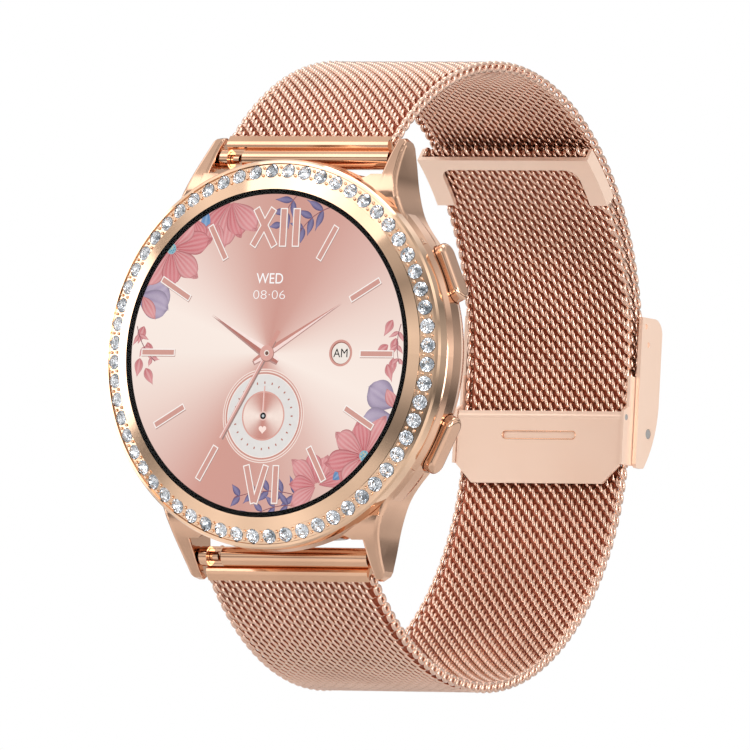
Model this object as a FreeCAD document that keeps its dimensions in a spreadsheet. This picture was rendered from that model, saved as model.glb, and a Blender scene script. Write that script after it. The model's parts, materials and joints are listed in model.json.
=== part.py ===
import FreeCAD, Part
import Sketcher
import os, math
from FreeCAD import Vector, Placement, Rotation

# Round smartwatch on a woven-mesh strap, millimetres.
# Frame: origin at the centre of the wrist opening, +Z towards 12 o'clock,
# +X towards 3 o'clock (the pusher side), the dial faces -Y.
doc = FreeCAD.newDocument("smartwatch")
sheet = doc.addObject("Spreadsheet::Sheet", "Dims")

DIMS = [
    ("face_y", -28.0, "plane of the glass border, from the wrist centre"),
    # display stack
    ("glass_rad", 16.36, "cover glass radius"),
    ("glass_front", -0.2, "glass front, depth behind the face plane"),
    ("glass_back", 0.3, "glass back"),
    ("panel_rad", 16.25, "display module radius"),
    ("panel_back", 1.5, "display module back"),
    ("seal_in", 15.6, "display seal inner radius"),
    ("ledge_depth", 1.7, "ledge the display module sits on"),
    # bezel
    ("bezel_bore", 16.44, "bore around the glass"),
    ("bezel_rad", 19.5, "bezel outer radius"),
    ("bezel_back", 2.6, "bezel underside depth"),
    ("ledge_rad", 15.5, "ledge inner radius"),
    ("stone_pitch_rad", 18.3, "radius of the stone circle"),
    ("stone_depth", 0.75, "girdle depth of a stone"),
    ("stone_rad", 0.74, "girdle radius of a stone"),
    ("stone_count", 60, "stones round the bezel"),
    ("stone_tilt", 19.5, "outward tilt of a stone, degrees"),
    # case
    ("case_rad", 19.65, "case side radius"),
    ("cavity_rad", 17.3, "case cavity radius"),
    ("case_back", 8.6, "case underside depth"),
    ("lug_gap", 20.2, "gap between the lugs"),
    ("lug_tip_z", 22.2, "lug tip from the dial centre"),
    ("bar_depth", 6.0, "spring bar axis, depth behind the face plane"),
    ("bar_z", 19.9, "spring bar axis from the dial centre"),
    ("bar_hole_rad", 0.5, "spring bar hole radius"),
    ("gap_flat_z", 18.15, "case flat facing the hinge tube"),
    # back
    ("cover_rad", 17.7, "back cover radius"),
    ("cover_back", 9.5, "back cover outer face depth"),
    ("window_rad", 9.5, "sensor window radius"),
    ("window_crown", 10.5, "sensor window crown depth"),
    # pushers
    ("push_angle", 25.5, "pusher axis from 3 o'clock, degrees"),
    ("push_depth", 5.0, "pusher axis depth"),
    ("push_long", 6.2, "pusher length"),
    ("push_wide", 2.3, "pusher width"),
    ("push_out", 20.6, "pusher outer face from the dial axis"),
    ("push_in", 19.25, "pusher inner face from the dial axis"),
    ("push_pocket", 18.7, "pusher pocket floor from the dial axis"),
    ("stem_rad", 0.6, "pusher stem radius"),
    ("stem_hole", 0.66, "stem bore radius"),
    ("push_travel", 0.4, "pusher travel"),
    # strap
    ("mesh_half", 9.6, "half width of the mesh"),
    ("mesh_thick", 1.25, "mesh thickness"),
    ("upper_arc", 28.5, "mid radius of the upper band"),
    ("upper_cy", 0.2, "arc centre of the upper band and of the tail, Y"),
    ("upper_cz", 2.8, "arc centre of the upper band and of the tail, Z"),
    ("upper_sweep", 138.98, "upper band arc, degrees"),
    ("upper_end_z", -1.9, "straight end of the upper band"),
    ("lower_arc", 27.3, "mid radius of the lower band"),
    ("lower_cy", -0.3, "arc centre of the lower band, Y"),
    ("lower_cz", -3.7, "arc centre of the lower band, Z"),
    ("lower_sweep", 139.3, "lower band arc, degrees"),
    ("tail_arc", 26.8, "mid radius of the tail"),
    ("tail_sweep", 56.2, "tail arc of the lower band, degrees"),
    ("tube_half", 9.8, "half length of a hinge tube"),
    ("tube_rad", 1.0, "hinge tube outer radius"),
    ("tube_bore", 0.78, "hinge tube bore radius"),
    ("bar_rad", 0.74, "spring bar barrel radius"),
    ("bar_half", 9.35, "half length of the spring bar barrel"),
    ("pivot_rad", 0.42, "spring bar pivot radius"),
    # clasp
    ("flange_half", 10.5, "half width over the cover flanges"),
    ("flange_thick", 0.42, "flange wall"),
    ("cover_out_y", 31.2, "outer face of the clasp cover"),
    ("cover_wall", 0.5, "clasp cover wall"),
    ("cover_in_y", 27.2, "inner edge of the flanges"),
    ("cover_top_z", 8.7, "top of the flanges"),
    ("cover_low_z", -6.6, "bottom of the flanges"),
    ("pin_y", 29.4, "cover pin, in Y"),
    ("pin_z", -3.0, "cover pin, in Z"),
    ("pin_rad", 0.5, "cover pin radius"),
    ("slider_half", 10.0, "half width of the slider"),
    ("slider_wall", 0.32, "slider wall"),
    ("plate_y", 25.4, "inner face of the lock plate"),
    ("plate_thick", 0.3, "lock plate thickness"),
    ("lock_y", 25.8, "lock plate pin, in Y"),
    ("lock_z", -1.6, "lock plate pin, in Z"),
]
for row, (alias, value, note) in enumerate(DIMS, 1):
    sheet.set("A%d" % row, note)
    sheet.set("B%d" % row, str(value))
    sheet.setAlias("B%d" % row, alias)
doc.recompute()


def d(alias):
    return float(sheet.get(alias))


def num(term):
    """Value and expression of a coordinate: a number, a name, or a list of
    names and numbers that are added; a leading minus subtracts a name."""
    terms = term if isinstance(term, (list, tuple)) else [term]
    value, words = 0.0, []
    for t in terms:
        if isinstance(t, str):
            sign = -1.0 if t.startswith("-") else 1.0
            value += sign * d(t.lstrip("-"))
            words.append(("-" if sign < 0 else "+") + " Dims." + t.lstrip("-"))
        else:
            value += t
            words.append(("-" if t < 0 else "+") + " %.6f" % abs(t))
    has_name = any(isinstance(t, str) for t in terms)
    text = " ".join(words)
    text = text[2:] if text.startswith("+ ") else "0 " + text
    return value, (text if has_name else None)


def origin_plane(body, role):
    for feature in body.Origin.OriginFeatures:
        if feature.Role == role:
            return feature


def new_body(label):
    body = doc.addObject("PartDesign::Body", label)
    body.Label = label
    return body


def sketch(body, name, role, points, offset=0.0, circles=()):
    """Closed polygon, each corner dimensioned from the sketch origin."""
    sk = body.newObject("Sketcher::SketchObject", name)
    sk.AttachmentSupport = [(origin_plane(body, role), "")]
    sk.MapMode = "FlatFace"
    off, off_text = num(offset)
    sk.AttachmentOffset = Placement(Vector(0, 0, off), Rotation())
    if off_text:
        sk.setExpression("AttachmentOffset.Base.z", off_text)
    pts = [(num(a), num(b)) for a, b in points]
    count = len(pts)
    for i in range(count):
        a, b = pts[i], pts[(i + 1) % count]
        sk.addGeometry(Part.LineSegment(Vector(a[0][0], a[1][0], 0), Vector(b[0][0], b[1][0], 0)), False)
    for i in range(count):
        sk.addConstraint(Sketcher.Constraint("Coincident", i, 2, (i + 1) % count, 1))
    for i, (px, py) in enumerate(pts):
        for kind, axis, (value, text) in (("DistanceX", -2, px), ("DistanceY", -1, py)):
            if abs(value) < 1e-9 and not text:
                sk.addConstraint(Sketcher.Constraint("PointOnObject", i, 1, axis))
                continue
            k = sk.addConstraint(Sketcher.Constraint(kind, -1, 1, i, 1, value))
            if text:
                sk.setExpression("Constraints[%d]" % k, text)
    for cx, cy, rad in circles:
        (vx, tx), (vy, ty), (vr, tr) = num(cx), num(cy), num(rad)
        g = sk.addGeometry(Part.Circle(Vector(vx, vy, 0), Vector(0, 0, 1), vr), False)
        for kind, axis, value, text in (("DistanceX", -2, vx, tx), ("DistanceY", -1, vy, ty)):
            if abs(value) < 1e-9 and not text:
                sk.addConstraint(Sketcher.Constraint("PointOnObject", g, 3, axis))
                continue
            k = sk.addConstraint(Sketcher.Constraint(kind, -1, 1, g, 3, value))
            if text:
                sk.setExpression("Constraints[%d]" % k, text)
        k = sk.addConstraint(Sketcher.Constraint("Radius", g, vr))
        if tr:
            sk.setExpression("Constraints[%d]" % k, tr)
    return sk


def turned(label, profile, body=None, name="Turn"):
    """A ring or disc turned about the dial axis: (radius, depth) corners."""
    body = body or new_body(label)
    pts = [(r, (["face_y"] + list(y) if isinstance(y, (list, tuple)) else ["face_y", y])) for r, y in profile]
    sk = sketch(body, label + "_" + name + "Sketch", "XY_Plane", pts)
    rev = body.newObject("PartDesign::Revolution", label + "_" + name)
    rev.Profile = sk
    rev.ReferenceAxis = (sk, ["V_Axis"])
    rev.Angle = 360.0
    sk.Visibility = False
    return body


def turned_x(label, profile, y, z):
    """A rod or tube about an axis along X: (x, radius) corners about (y, z)."""
    body = new_body(label)
    sk = sketch(body, label + "_Sketch", "XY_Plane", profile)
    rev = body.newObject("PartDesign::Revolution", label + "_Turn")
    rev.Profile = sk
    rev.ReferenceAxis = (sk, ["H_Axis"])
    rev.Angle = 360.0
    body.Placement = Placement(Vector(0, num(y)[0], num(z)[0]), Rotation())
    for axis, term in (("y", y), ("z", z)):
        text = num(term)[1]
        if text:
            body.setExpression("Placement.Base." + axis, text)
    return body


def padded(label, role, points, length, offset=0.0, reverse=False, mid=False, body=None, name="Pad",
           cut=False, circles=()):
    body = body or new_body(label)
    sk = sketch(body, label + "_" + name + "Sketch", role, points, offset, circles)
    pad = body.newObject("PartDesign::Pocket" if cut else "PartDesign::Pad", label + "_" + name)
    pad.Profile = sk
    value, text = num(length)
    pad.Length = value
    if text:
        pad.setExpression("Length", text)
    if mid:
        pad.Midplane = True
    pad.Reversed = reverse
    sk.Visibility = False
    return body


def disc(label, rad, x, z, front, back):
    """Cylinder along Y between two depths."""
    cyl = doc.addObject("Part::Cylinder", label)
    cyl.Label = label
    value, text = num(rad)
    cyl.Radius = value
    if text:
        cyl.setExpression("Radius", text)
    f, b = num(["face_y", front])[0], num(["face_y", back])[0]
    cyl.Height = b - f
    cyl.Placement = Placement(Vector(x, f, z), Rotation(Vector(1, 0, 0), -90))
    return cyl


def solid(label, shape):
    feature = doc.addObject("Part::Feature", label)
    feature.Label = label
    feature.Shape = shape
    return feature


def box(x0, x1, y0, y1, z0, z1):
    return Part.makeBox(x1 - x0, y1 - y0, z1 - z0, Vector(x0, y0, z0))


def ybox(x0, x1, dep0, dep1, z0, z1):
    return box(x0, x1, d("face_y") + dep0, d("face_y") + dep1, z0, z1)


def rod(rad, p, q):
    p, q = Vector(*p), Vector(*q)
    return Part.makeCylinder(rad, (q - p).Length, p, q - p)


def xrod(rad, x0, x1, y, z):
    return rod(rad, (x0, y, z), (x1, y, z))


def prism(points, axis, lo, hi):
    """Prism of a closed outline. axis 'x': (y, z) points, 'y': (x, z) points."""
    if axis == "x":
        pts = [Vector(lo, a, b) for a, b in points]
        way = Vector(hi - lo, 0, 0)
    else:
        pts = [Vector(a, lo, b) for a, b in points]
        way = Vector(0, hi - lo, 0)
    return Part.Face(Part.makePolygon(pts + [pts[0]])).extrude(way)


NODES = []


def keep(*objects):
    NODES.extend(objects)


FY = d("face_y")

# ---------------------------------------------------------------- display
keep(turned("cover_glass", [(0, "glass_back"), (0, "glass_front"), (["glass_rad", -0.22], "glass_front"),
                            ("glass_rad", ["glass_front", 0.2]), ("glass_rad", "glass_back")]))
keep(turned("display_panel", [(0, ["glass_back", 0.01]), ("panel_rad", ["glass_back", 0.01]),
                              ("panel_rad", "panel_back"), (0, "panel_back")]))
keep(turned("display_seal", [("seal_in", "panel_back"), (["panel_rad", -0.05], "panel_back"),
                             (["panel_rad", -0.05], "ledge_depth"), ("seal_in", "ledge_depth")]))

# ------------------------------------------------------------------ bezel
tilt = math.radians(d("stone_tilt"))
tr, ty = math.cos(tilt), math.sin(tilt)        # along the slope: radius, depth
nr, ny = math.sin(tilt), -math.cos(tilt)       # out of the slope


def seat(a, b):
    return (["stone_pitch_rad", tr * a + nr * b], ["stone_depth", ty * a + ny * b])


keep(turned("bezel_ring", [
    ("bezel_bore", 0.02), seat(-0.80, 0.10), seat(-0.80, -0.75), seat(0.80, -0.75), seat(0.80, 0.10),
    (["bezel_rad", -0.16], 1.02), ("bezel_rad", 1.3), ("bezel_rad", ["bezel_back", -0.12]),
    (["bezel_rad", -0.12], "bezel_back"), ("ledge_rad", "bezel_back"), ("ledge_rad", "ledge_depth"),
    ("bezel_bore", "ledge_depth")]))

# Stones: a crown, a girdle and a cone-shaped pavilion each, tilted outwards.
rs = d("stone_rad")
profile = Part.makePolygon([Vector(0, 0, -0.66), Vector(rs, 0, -0.08), Vector(rs, 0, 0.0),
                            Vector(0.62 * rs, 0, 0.24), Vector(0, 0, 0.24), Vector(0, 0, -0.66)])
stone = Part.Face(profile).revolve(Vector(0, 0, 0), Vector(0, 0, 1), 360)
stones = []
n = int(d("stone_count"))
for i in range(n):
    a = 2 * math.pi * (i + 0.5) / n
    rad = Vector(math.cos(a), 0, math.sin(a))
    out = rad * nr + Vector(0, ny, 0)
    s = stone.copy()
    s.Placement = Placement(rad * d("stone_pitch_rad") + Vector(0, FY + d("stone_depth"), 0),
                            Rotation(Vector(0, 0, 1), out))
    stones.append(s)
keep(solid("bezel_stones", Part.makeCompound(stones)))

# ------------------------------------------------------------------- case
cr = d("case_rad")
wall = Part.Face(Part.makePolygon([Vector(r, FY + y, 0) for r, y in (
    (d("cavity_rad"), 2.6), (cr - 0.45, 2.6), (cr - 0.2, 2.8), (cr, 3.5), (cr, 5.0), (cr - 0.13, 5.5), (cr - 0.38, 6.1),
    (cr - 0.8, 6.85), (cr - 1.3, 7.6), (cr - 1.7, 8.2), (cr - 1.9, 8.6), (d("cavity_rad"), 8.6), (d("cavity_rad"), 2.6))])).revolve(Vector(0, 0, 0), Vector(0, 1, 0), 360)

# Lugs: plan outline (x, z) with a concave flank, cut by a side outline (y, z).
g = d("lug_gap") / 2
tip = d("lug_tip_z")
flank = [(11.45, 21.2), (11.55, 20.3), (11.75, 19.2), (12.1, 17.6), (12.7, 15.9), (13.6, 14.1), (14.8, 12.6),
         (16.0, 11.35)]
spline = Part.BSplineCurve()
spline.interpolate([Vector(x, 0, z) for x, z in flank])
corner = [(16.0, 11.35), (15.0, 9.6), (g, 14.2), (g, tip - 0.3), (g + 0.2, tip), (10.75, tip), (11.25, tip - 0.45),
          (11.45, 21.2)]
plan_wire = Part.Wire(Part.makePolygon([Vector(x, 0, z) for x, z in corner]).Edges + [spline.toShape()])
plan = Part.Face(plan_wire).extrude(Vector(0, 9.0, 0))
plan.translate(Vector(0, FY + 1.5, 0))
front = Part.BSplineCurve()
front.interpolate([Vector(7.0, FY + y, z) for y, z in (
    (2.62, 15.9), (2.85, 17.0), (3.4, 18.2), (4.15, 19.35), (4.95, 20.45), (5.7, 21.35), (6.3, 22.0))])
behind = Part.BSplineCurve()
behind.interpolate([Vector(7.0, FY + y, z) for y, z in (
    (7.55, 21.6), (7.75, 20.0), (7.6, 17.8), (7.05, 15.2), (6.4, 12.4), (6.0, 9.0))])
caps = [[(6.3, 22.0), (7.1, tip - 0.02), (7.55, 21.6)], [(6.0, 9.0), (2.62, 9.0), (2.62, 15.9)]]
side_wire = Part.Wire(Part.__sortEdges__(
    [e for c in caps for e in Part.makePolygon([Vector(7.0, FY + y, z) for y, z in c]).Edges] + [front.toShape(), behind.toShape()]))
side = Part.Face(side_wire).extrude(Vector(13.0, 0, 0))
lug = plan.common(side).removeSplitter()
for outer, low, high, radius in ((True, 2, 9, 0.45), (False, 2, 9, 0.3), (True, 0.7, 2, 0.9), (True, 0.7, 2, 0.5)):
    ridge = [e for e in lug.Edges if e.BoundBox.ZLength > 3 and low < e.BoundBox.YLength < high and
             (e.BoundBox.XLength > 0.5 if outer else e.BoundBox.XLength < 0.01)]
    try:
        soft = lug.makeFillet(radius, ridge) if ridge else lug
        if ridge and soft.isValid() and len(soft.Solids) == 1:
            lug = soft
            print("lug ridge rounded", radius)
    except Exception as err:
        print("lug ridge left sharp", radius, err)
web = prism([(7.7, 14.0), (7.7, 17.75), (8.6, 18.05), (9.4, 18.6), (g, 19.5), (g + 0.6, 19.5), (g + 0.6, 14.0)], "y", FY + 1.5, FY + 3.45)
lug = lug.fuse(web.common(side)).removeSplitter()
lug = lug.cut(rod(d("bar_hole_rad"), (g - 0.2, FY + d("bar_depth"), d("bar_z")),
                  (g + 1.1, FY + d("bar_depth"), d("bar_z"))))
m1 = lug.mirror(Vector(0, 0, 0), Vector(1, 0, 0))
m2 = lug.mirror(Vector(0, 0, 0), Vector(0, 0, 1))
m3 = m1.mirror(Vector(0, 0, 0), Vector(0, 0, 1))
body = wall.multiFuse([lug, m1, m2, m3])
cavity = Part.makeCylinder(d("cavity_rad"), 7.0, Vector(0, FY + 2.3, 0), Vector(0, 1, 0))
body = body.cut(cavity)
# Flats between the lugs, clear of the hinge tubes.
for sgn in (1, -1):
    z0, z1 = sorted((sgn * d("gap_flat_z"), sgn * 23.0))
    body = body.cut(ybox(-g, g, 3.5, 9.0, z0, z1))

# Pusher pockets and stem bores.
PUSH = {}
for name, sgn in (("upper", 1), ("lower", -1)):
    a = math.radians(d("push_angle")) * sgn
    rad = Vector(math.cos(a), 0, math.sin(a))
    tan = Vector(-math.sin(a), 0, math.cos(a))
    PUSH[name] = (rad, tan)


def pill(long, wide, r0, r1, rad, tan):
    """Pill-shaped block lying along tan, from radius r0 to r1."""
    half = (long - wide) / 2
    c = Vector(0, FY + d("push_depth"), 0)
    ends = [Part.makeCylinder(wide / 2, r1 - r0, c + rad * r0 + tan * (sg * half), rad) for sg in (1, -1)]
    y = Vector(0, 1, 0)
    p = [c + rad * r0 + tan * (sa * half) + y * (sb * wide / 2) for sa, sb in ((1, 1), (-1, 1), (-1, -1), (1, -1))]
    mid = Part.Face(Part.makePolygon(p + [p[0]])).extrude(rad * (r1 - r0))
    return mid.multiFuse(ends).removeSplitter()


cen = Vector(0, FY + d("push_depth"), 0)
for name, (rad, tan) in PUSH.items():
    body = body.cut(pill(d("push_long") + 0.24, d("push_wide") + 0.24, d("push_pocket"), 22.0, rad, tan))
    body = body.cut(Part.makeCylinder(d("stem_hole"), 6.0, cen + rad * 15.0, rad))
    body = body.cut(Part.makeCylinder(1.15, 1.0, cen + rad * (d("push_pocket") - 0.7), rad))
body = body.removeSplitter()
edges = []
for e in body.Edges:
    bb = e.BoundBox
    if abs(bb.Center.z) > 21.6 and abs(bb.Center.x) > 10.2 and e.Length > 0.35:
        edges.append(e)
try:
    rounded = body.makeFillet(0.12, edges)
    if rounded.isValid() and len(rounded.Solids) == 1:
        body = rounded
except Exception:
    pass
keep(solid("case_middle", body))

# ------------------------------------------------------------------- back
keep(turned("back_cover", [
    (["window_rad", 0.05], 8.95), (["window_rad", 0.05], ["cover_back", 0.15]), (["window_rad", 0.8], ["cover_back", 0.15]),
    (["window_rad", 1.6], "cover_back"),
    (["cover_rad", -1.2], "cover_back"), (["cover_rad", -0.2], 9.05), ("cover_rad", 8.62), (["cavity_rad", -0.06], 8.62),
    (["cavity_rad", -0.06], 8.0), (["cavity_rad", -0.9], 8.0), (["cavity_rad", -0.9], 8.65), (["window_rad", -0.9], 8.65),
    (["window_rad", -0.9], 8.95)]))
keep(turned("back_seal", [(["cavity_rad", -0.86], 7.6), (["cavity_rad", -0.04], 7.6), (["cavity_rad", -0.04], 7.96),
                          (["cavity_rad", -0.86], 7.96)]))
keep(turned("sensor_window", [
    (0, 8.96), (0, "window_crown"), (3.4, ["window_crown", -0.07]), (6.2, ["window_crown", -0.28]),
    (8.4, ["window_crown", -0.6]), ("window_rad", ["window_crown", -0.92]), ("window_rad", 8.96)]))

# The back cover has four screw holes and two contact holes.
back = NODES[-3]
SCREWS = [(8.2, 12.9), (-8.2, 12.9), (11.2, -10.4), (-11.2, -10.4)]
CONTACTS = [(-2.2, -12.9), (2.2, -12.9)]
hole_sketch = back.newObject("Sketcher::SketchObject", "back_cover_HoleSketch")
hole_sketch.AttachmentSupport = [(origin_plane(back, "XZ_Plane"), "")]
hole_sketch.MapMode = "FlatFace"
hole_sketch.AttachmentOffset = Placement(Vector(0, 0, 19.0), Rotation())
for (x, z), rad in [(p, 0.62) for p in SCREWS] + [(p, 0.82) for p in CONTACTS]:
    k = hole_sketch.addGeometry(Part.Circle(Vector(x, z, 0), Vector(0, 0, 1), rad), False)
    hole_sketch.addConstraint(Sketcher.Constraint("DistanceX", -1, 1, k, 3, x))
    hole_sketch.addConstraint(Sketcher.Constraint("DistanceY", -1, 1, k, 3, z))
    hole_sketch.addConstraint(Sketcher.Constraint("Radius", k, rad))
holes = back.newObject("PartDesign::Pocket", "back_cover_Holes")
holes.Profile = hole_sketch
holes.Length = 3.0
holes.Midplane = True
hole_sketch.Visibility = False
bore_sketch = back.newObject("Sketcher::SketchObject", "back_cover_BoreSketch")
bore_sketch.AttachmentSupport = [(origin_plane(back, "XZ_Plane"), "")]
bore_sketch.MapMode = "FlatFace"
bore_sketch.AttachmentOffset = Placement(Vector(0, 0, 18.5), Rotation())
for x, z in SCREWS:
    k = bore_sketch.addGeometry(Part.Circle(Vector(x, z, 0), Vector(0, 0, 1), 1.1), False)
    bore_sketch.addConstraint(Sketcher.Constraint("DistanceX", -1, 1, k, 3, x))
    bore_sketch.addConstraint(Sketcher.Constraint("DistanceY", -1, 1, k, 3, z))
    bore_sketch.addConstraint(Sketcher.Constraint("Radius", k, 1.1))
bores = back.newObject("PartDesign::Pocket", "back_cover_Bores")
bores.Profile = bore_sketch
bores.Length = 1.0
bores.Midplane = True
bore_sketch.Visibility = False

# Screws, contacts, magnets.
screws = []
for x, z in SCREWS:
    head = Part.makeCylinder(1.0, 0.42, Vector(x, FY + 9.02, z), Vector(0, 1, 0))
    shank = Part.makeCylinder(0.55, 3.3, Vector(x, FY + 5.9, z), Vector(0, 1, 0))
    cross = box(x - 0.6, x + 0.6, FY + 9.25, FY + 9.6, z - 0.09, z + 0.09).fuse(
        box(x - 0.09, x + 0.09, FY + 9.25, FY + 9.6, z - 0.6, z + 0.6))
    screws.append(head.fuse(shank).cut(cross).removeSplitter())
keep(solid("back_screws", Part.makeCompound(screws)))
keep(solid("charging_contacts", Part.makeCompound([
    Part.makeCylinder(0.8, 1.05, Vector(x, FY + 8.52, z), Vector(0, 1, 0)).fuse(
        Part.makeCylinder(1.1, 0.25, Vector(x, FY + 8.37, z), Vector(0, 1, 0))).removeSplitter() for x, z in CONTACTS])))
keep(solid("charging_magnets", Part.makeCompound([
    Part.makeCylinder(1.5, 1.1, Vector(x, FY + 7.5, -12.0), Vector(0, 1, 0)) for x in (-5.8, 5.8)])))

# -------------------------------------------------------------- internals
ring = Part.makeCylinder(17.22, 5.3, Vector(0, FY + 2.66, 0), Vector(0, 1, 0)).cut(
    Part.makeCylinder(16.5, 6.0, Vector(0, FY + 2.4, 0), Vector(0, 1, 0)))
ring = ring.cut(Part.makeCylinder(17.6, 1.2, Vector(0, FY + 7.5, 0), Vector(0, 1, 0)).cut(
    Part.makeCylinder(16.5, 1.2, Vector(0, FY + 7.5, 0), Vector(0, 1, 0))))
bosses = [Part.makeCylinder(1.35, 3.9, Vector(x, FY + 4.66, z), Vector(0, 1, 0)) for x, z in SCREWS]
ribs = [Part.makeCylinder(1.35, 2.7, Vector(x * 1.03, FY + 4.66, z * 1.03), Vector(0, 1, 0)) for x, z in SCREWS]
frame = ring.multiFuse(bosses + ribs).common(Part.makeCylinder(17.22, 9.0, Vector(0, FY, 0), Vector(0, 1, 0)))
frame = frame.cut(Part.makeCylinder(17.6, 1.6, Vector(0, FY + 7.45, 0), Vector(0, 1, 0)).cut(
    Part.makeCylinder(16.32, 1.6, Vector(0, FY + 7.45, 0), Vector(0, 1, 0))))
for x, z in SCREWS:
    frame = frame.cut(Part.makeCylinder(0.56, 6.0, Vector(x, FY + 5.8, z), Vector(0, 1, 0)))
for name, (rad, tan) in PUSH.items():
    frame = frame.cut(Part.makeCylinder(1.6, 3.0, cen + rad * 15.5, rad))
for z in (-2.2, 0.0, 2.2):
    frame = frame.cut(xrod(0.7, -18.0, -15.0, FY + 5.8, z))
keep(solid("inner_frame", frame.removeSplitter()))

board = Part.makeCylinder(16.0, 0.8, Vector(0, FY + 3.7, 0), Vector(0, 1, 0))
keep(solid("main_board", board))
keep(padded("shield_can", "XZ_Plane", [(-9, -4), (3, -4), (3, 8), (-9, 8)], 1.1, offset=["-face_y", -3.68], body=None,
            name="Can"))
keep(padded("display_flex", "XZ_Plane", [(4.5, -7), (10.5, -7), (10.5, 5), (4.5, 5)], 0.3, offset=["-face_y", -2.9]))
cell = ybox(-10.0, 8.0, 4.6, 7.7, -5.5, 10.5)
cell = cell.makeFillet(0.8, [e for e in cell.Edges if abs(e.Length - 3.1) < 0.01])
keep(solid("battery", cell))
mx, mzz = -5.4, -10.7
can = Part.makeCylinder(4.0, 2.7, Vector(mx, FY + 4.6, mzz), Vector(0, 1, 0)).cut(
    Part.makeCylinder(3.75, 2.2, Vector(mx, FY + 4.85, mzz), Vector(0, 1, 0))).fuse(
    Part.makeCylinder(0.35, 2.4, Vector(mx, FY + 4.75, mzz), Vector(0, 1, 0)))
keep(solid("motor_can", can.removeSplitter()))
weight = Part.makeCylinder(3.5, 1.5, Vector(mx, FY + 5.2, mzz), Vector(0, 1, 0)).common(
    ybox(mx - 4, mx + 4, 5.0, 7.0, mzz, mzz + 4))
rotor = weight.fuse(Part.makeCylinder(0.9, 1.5, Vector(mx, FY + 5.2, mzz), Vector(0, 1, 0))).cut(
    Part.makeCylinder(0.39, 2.4, Vector(mx, FY + 4.9, mzz), Vector(0, 1, 0)))
keep(solid("motor_rotor", rotor.removeSplitter()))
keep(padded("speaker", "YZ_Plane", [(["face_y", 4.6], -4.5), (["face_y", 7.1], -4.5), (["face_y", 7.1], 4.5),
                                   (["face_y", 4.6], 4.5)], 4.0, offset=-14.6))
keep(padded("microphone", "YZ_Plane", [(["face_y", 4.6], 5.6), (["face_y", 5.6], 5.6), (["face_y", 5.6], 8.2),
                                      (["face_y", 4.6], 8.2)], 2.2, offset=-14.0))
keep(disc("sensor_board", 8.4, 0, 0, 8.1, 8.66))
parts = [Part.makeCylinder(0.9, 0.26, Vector(0, FY + 8.66, 0), Vector(0, 1, 0))]
for a in range(4):
    c, s_ = math.cos(math.pi / 4 + a * math.pi / 2), math.sin(math.pi / 4 + a * math.pi / 2)
    parts.append(ybox(4.2 * c - 0.9, 4.2 * c + 0.9, 8.66, 8.92, 4.2 * s_ - 0.9, 4.2 * s_ + 0.9))
keep(solid("sensor_optics", Part.makeCompound(parts)))

def ridged(r_in, r_low, r_high, length, turns):
    """Spring sleeve about +Z, one ridge a turn."""
    step = length / turns
    pts = [Vector(r_in, 0, 0), Vector(r_low, 0, 0)]
    for i in range(turns):
        pts += [Vector(r_high, 0, (i + 0.5) * step), Vector(r_low, 0, (i + 1) * step)]
    pts += [Vector(r_in, 0, length), Vector(r_in, 0, 0)]
    return Part.Face(Part.makePolygon(pts)).revolve(Vector(0, 0, 0), Vector(0, 0, 1), 360)


# ---------------------------------------------------------------- pushers
springs, switches = {}, []
for name, (rad, tan) in PUSH.items():
    cap = pill(d("push_long"), d("push_wide"), d("push_in"), d("push_out"), rad, tan)
    top = [e for e in cap.Edges if (e.CenterOfMass - cen).dot(rad) > d("push_out") - 0.02]
    try:
        soft = cap.makeFillet(0.45, top)
        if soft.isValid():
            cap = soft
    except Exception:
        pass
    stem = Part.makeCylinder(d("stem_rad"), d("push_in") - 16.55 + 0.1, cen + rad * 16.55, rad)
    for r0, r1, rr in ((16.93, 17.17, 0.42), (17.5, 17.8, 0.4)):
        stem = stem.cut(Part.makeCylinder(1.0, r1 - r0, cen + rad * r0, rad).cut(
            Part.makeCylinder(rr, r1 - r0, cen + rad * r0, rad)))
    keep(solid("pusher_" + name, cap.fuse(stem).removeSplitter()))
    clip = Part.makeCylinder(1.1, 0.2, cen + rad * 16.95, rad).cut(
        Part.makeCylinder(0.44, 0.2, cen + rad * 16.95, rad))
    slot = pill(0.1 + 2.4, 0.0 + 0.8, 16.9, 17.2, rad, tan)
    slot.translate(tan * 1.6)
    keep(solid("pusher_clip_" + name, clip.cut(slot)))
    seal = Part.makeTorus(0.525, 0.12, cen + rad * 17.65, rad)
    keep(solid("pusher_seal_" + name, seal))
    # Return spring round the stem: a ridged sleeve with one ridge a turn.
    coil = ridged(0.76, 0.82, 0.98, 1.06, 4)
    coil.Placement = Placement(cen + rad * (d("push_pocket") - 0.7 + 0.04), Rotation(Vector(0, 0, 1), rad))
    keep(solid("pusher_spring_" + name, coil))
    switches.append((rad, tan))
sw_shapes = []
for rad, tan in switches:
    y = Vector(0, 1, 0)
    c = cen + y * 0.8
    p = [c + rad * 14.3 + tan * (a * 1.4) + y * (b * 1.2) for a, b in ((1, 1), (-1, 1), (-1, -1), (1, -1))]
    b_ = Part.Face(Part.makePolygon(p + [p[0]])).extrude(rad * 1.6)
    k_ = Part.makeCylinder(0.38, 0.3, cen + rad * 15.85, rad)
    sw_shapes.append(b_.fuse(k_).removeSplitter())
keep(solid("tact_switches", Part.makeCompound(sw_shapes)))

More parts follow.
